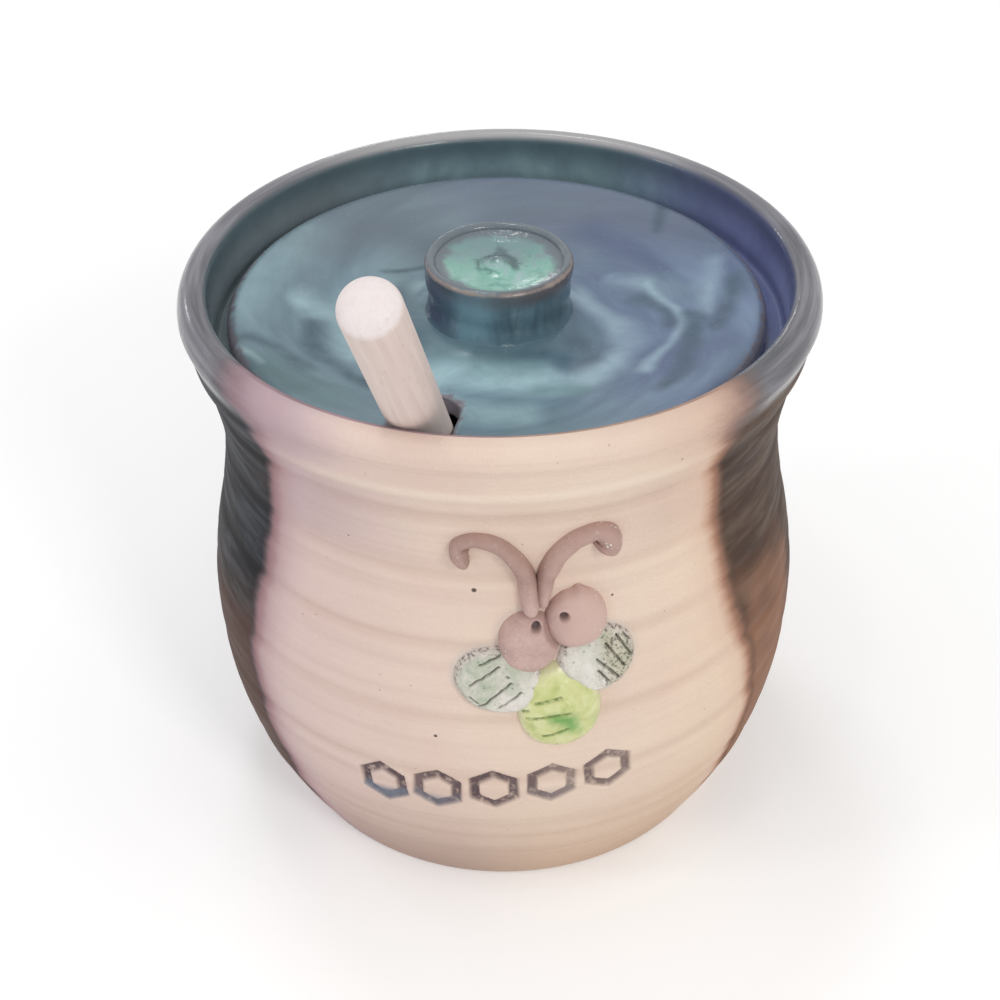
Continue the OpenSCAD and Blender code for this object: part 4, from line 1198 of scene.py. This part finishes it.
def make_antenna(side, finish, seed):
    """A coil of clay rolled thin, pressed on the wall and curled at its end."""
    clear_selection()
    rings, around = 150, 28
    bpy.ops.mesh.primitive_cylinder_add(
        vertices=around, radius=1, depth=2, end_fill_type="TRIFAN", location=(0, 0, 0))
    piece = bpy.context.object
    piece.name = f"antenna_{side}_modelled"
    edit(piece)
    bpy.ops.mesh.select_all(action="SELECT")
    for i in range(1, rings):
        bpy.ops.mesh.bisect(plane_co=(0, 0, 2 * i / rings - 1), plane_no=(0, 0, 1))
        bpy.ops.mesh.select_all(action="SELECT")
    done()
    p = np.empty(len(piece.data.vertices) * 3, np.float32)
    piece.data.vertices.foreach_get("co", p)
    p = p.reshape(-1, 3).astype(float)
    route, widths = ROUTES[side], WIDTHS[side]
    last = len(route) - 1
    share = (p[:, 2] + 1) / 2
    t = share * last
    middle = smooth_route(route, t)
    ahead = smooth_route(route, np.minimum(t + 0.05, last))
    behind = smooth_route(route, np.maximum(t - 0.05, 0))
    run = (ahead - behind) / np.linalg.norm(ahead - behind, axis=1)[:, None]
    width = smooth_route(widths, t)[:, 0]
    ends = np.minimum(share, 1 - share) * last * 3.2 / np.maximum(width, 0.3)
    rounding = np.sqrt(np.clip(1 - (1 - np.clip(ends, 0, 1)) ** 2, 0, 1))
    radius = np.hypot(p[:, 0], p[:, 1])
    a = np.arctan2(p[:, 1], p[:, 0])
    w = width * rounding * np.clip(radius, 0, 1)
    across = w * np.cos(a)
    rng = np.random.default_rng(seed)
    uneven = 1 + 0.04 * np.sin(t * 2.9 + seed) + 0.03 * np.sin(t * 5.3 + a * 2) + 0.02 * rng.uniform(-1, 1)
    outside = ANTENNA_H * w / 1.5 * np.sin(a) * uneven
    rise = np.where(np.sin(a) > 0, outside, 0.3 * w * np.sin(a)) - 0.1
    lap = np.zeros(len(t))
    if side == "left":
        lap = 1.5 * ease((0.7 - t) / 0.7)
    u = middle[:, 0] + run[:, 1] * across
    v = middle[:, 1] - run[:, 0] * across
    set_places(piece, on_bee(u, v, rise + lap))
    paint(piece, "crumbs", ease((t - 4.5) / 2) if side == "right" else 0.12 * np.ones(len(t)))
    paint(piece, "hole", np.zeros(len(t)))
    face_outwards(piece)
    return finish_piece(piece, "pot", ["bee_antenna_" + side], finish, 80)


# The room: floor, lamps and camera

def make_floor():
    clear_selection()
    bpy.ops.mesh.primitive_plane_add(size=6, location=(0, 0, 0))
    floor = bpy.context.object
    floor.name = "floor"
    f = Finish("floor_white", Roughness=0.9, Specular_IOR_Level=0.1)
    cloudy = f.noise(f.place, 400, 2)
    f.set(Base_Color=f.mix(cloudy, (0.84, 0.84, 0.84, 1), (0.88, 0.88, 0.88, 1)))
    lift = f.add("ShaderNodeEmission")
    lift.inputs["Strength"].default_value = 0.2
    path = f.add("ShaderNodeLightPath")
    seen = f.larger(path.outputs["Is Camera Ray"],
                  f.larger(path.outputs["Is Glossy Ray"], path.outputs["Is Transmission Ray"]))
    both = f.add("ShaderNodeAddShader")
    f.plug(both.inputs[0], f.shader.outputs[0])
    f.plug(both.inputs[1], lift.outputs[0])
    choice = f.add("ShaderNodeMixShader")
    f.plug(choice.inputs[0], seen)
    f.plug(choice.inputs[1], f.shader.outputs[0])
    f.plug(choice.inputs[2], both.outputs[0])
    out = f.tree.nodes["Material Output"]
    f.plug(out.inputs["Surface"], choice.outputs[0])
    floor.data.materials.append(f.material)


WORLD_LEVEL = 0.7


def make_world():
    world = bpy.data.worlds.new("studio")
    world.use_nodes = True
    bpy.context.scene.world = world
    back = world.node_tree.nodes["Background"]
    back.inputs["Color"].default_value = (1, 1, 1, 1)
    back.inputs["Strength"].default_value = WORLD_LEVEL


# Each lamp: place, size, power, colour
LAMPS = {"key": ((0.55, -0.95, 0.8), 0.3, 4.05, (1.0, 0.97, 0.93)),
         "left": ((-0.95, -0.3, 0.55), 0.16, 1.0, (0.95, 0.92, 1.0)),
         "top": ((-0.15, 0.35, 1.2), 0.22, 1.9, (0.97, 0.98, 1.0)),
         "behind": ((-0.75, 0.78, 0.36), 0.1, 0.28, (0.94, 0.97, 1.0)),
         "far": ((-0.12, 1.05, 0.26), 0.14, 0.22, (0.97, 0.98, 1.0)),
         "low_spark": ((0.2, -1.0, 0.42), 0.12, 0.32, (1, 1, 1)),
         "high_spark": ((-0.2, -0.3, 1.15), 0.07, 0.28, (1, 1, 1))}
LAMP_AIM = Vector((0, 0, 0.06))


def make_lamps():
    """Soft square lamps that look at the pot, in metres and watts."""
    for name, (place, size, power, colour) in LAMPS.items():
        data = bpy.data.lights.new(name, "AREA")
        data.size, data.energy, data.color = size, power, colour
        light = bpy.data.objects.new(name, data)
        light.location = place
        light.rotation_euler = (LAMP_AIM - Vector(place)).to_track_quat("-Z", "Y").to_euler()
        bpy.context.scene.collection.objects.link(light)


# The view: looking down at the pot from the front
VIEW_DISTANCE, VIEW_PITCH, VIEW_ROLL, VIEW_LENS = 345.0, 37.1, -0.86, 67.25
VIEW_AIM_X, VIEW_AIM_Z = -0.46, 54.4


def make_camera():
    pitch = math.radians(VIEW_PITCH)
    data = bpy.data.cameras.new("view")
    data.lens = VIEW_LENS
    data.clip_start = 0.01
    camera = bpy.data.objects.new("view", data)
    away = Vector((0, -math.cos(pitch), math.sin(pitch)))
    camera.location = (Vector((VIEW_AIM_X, 0, VIEW_AIM_Z)) + away * VIEW_DISTANCE) * MM
    looking = (-away).to_track_quat("-Z", "Y").to_matrix()
    camera.rotation_euler = (looking @ Matrix.Rotation(math.radians(VIEW_ROLL), 3, "Z")).to_euler()
    bpy.context.scene.collection.objects.link(camera)
    bpy.context.scene.camera = camera


def dipper_place():
    """The dipper's lower end and turn, worked out from the joint's axis and the handle's box."""
    low, high = (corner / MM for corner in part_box("dipper_handle"))
    tip = Vector([low[i] + HANDLE_R if DIPPER_DIR[i] < 0 else high[i] - HANDLE_R for i in range(3)])
    return tip - DIPPER_DIR * (DIPPER_LEN - HANDLE_R)


DIPPER_END = dipper_place()
DIPPER_TURN = Vector((0, 0, 1)).rotation_difference(DIPPER_DIR).to_matrix()

# The notch lies under the handle, where it passes the lid's lower face
lean = math.acos(DIPPER_DIR.z)
notch_z = LEDGE_Z - LID_BELLY
crossing = DIPPER_END + DIPPER_DIR * (notch_z - DIPPER_END.z) / DIPPER_DIR.z
NOTCH_OUT = np.array(Vector(DIPPER_DIR.xy).normalized())
NOTCH_ACROSS = np.array([-NOTCH_OUT[1], NOTCH_OUT[0]])
NOTCH_END = np.array(crossing.xy) - NOTCH_OUT * (HANDLE_R / math.cos(lean) + 1.0 - NOTCH_W / 2)
NOTCH_END -= NOTCH_ACROSS * NOTCH_ASIDE

make_camera()
make_world()
make_lamps()
make_floor()
make_pot(stoneware())
make_lid(lid_glaze())
make_knob(knob_glaze())
wood = pale_wood()
make_handle(wood)
make_head(wood)
brown, clear_wing = brown_clay(), wing_glaze()
for name, seed in (("eye_left", 3), ("eye_right", 5)):
    make_lump(name, brown, seed)
for side, seed in (("left", 7), ("right", 8)):
    make_antenna(side, brown, seed)
for name, seed in (("wing_left", 13), ("wing_right", 17)):
    make_lump(name, clear_wing, seed)
make_lump("abdomen", abdomen_glaze(), 19)

bpy.context.scene.view_settings.view_transform = "Standard"
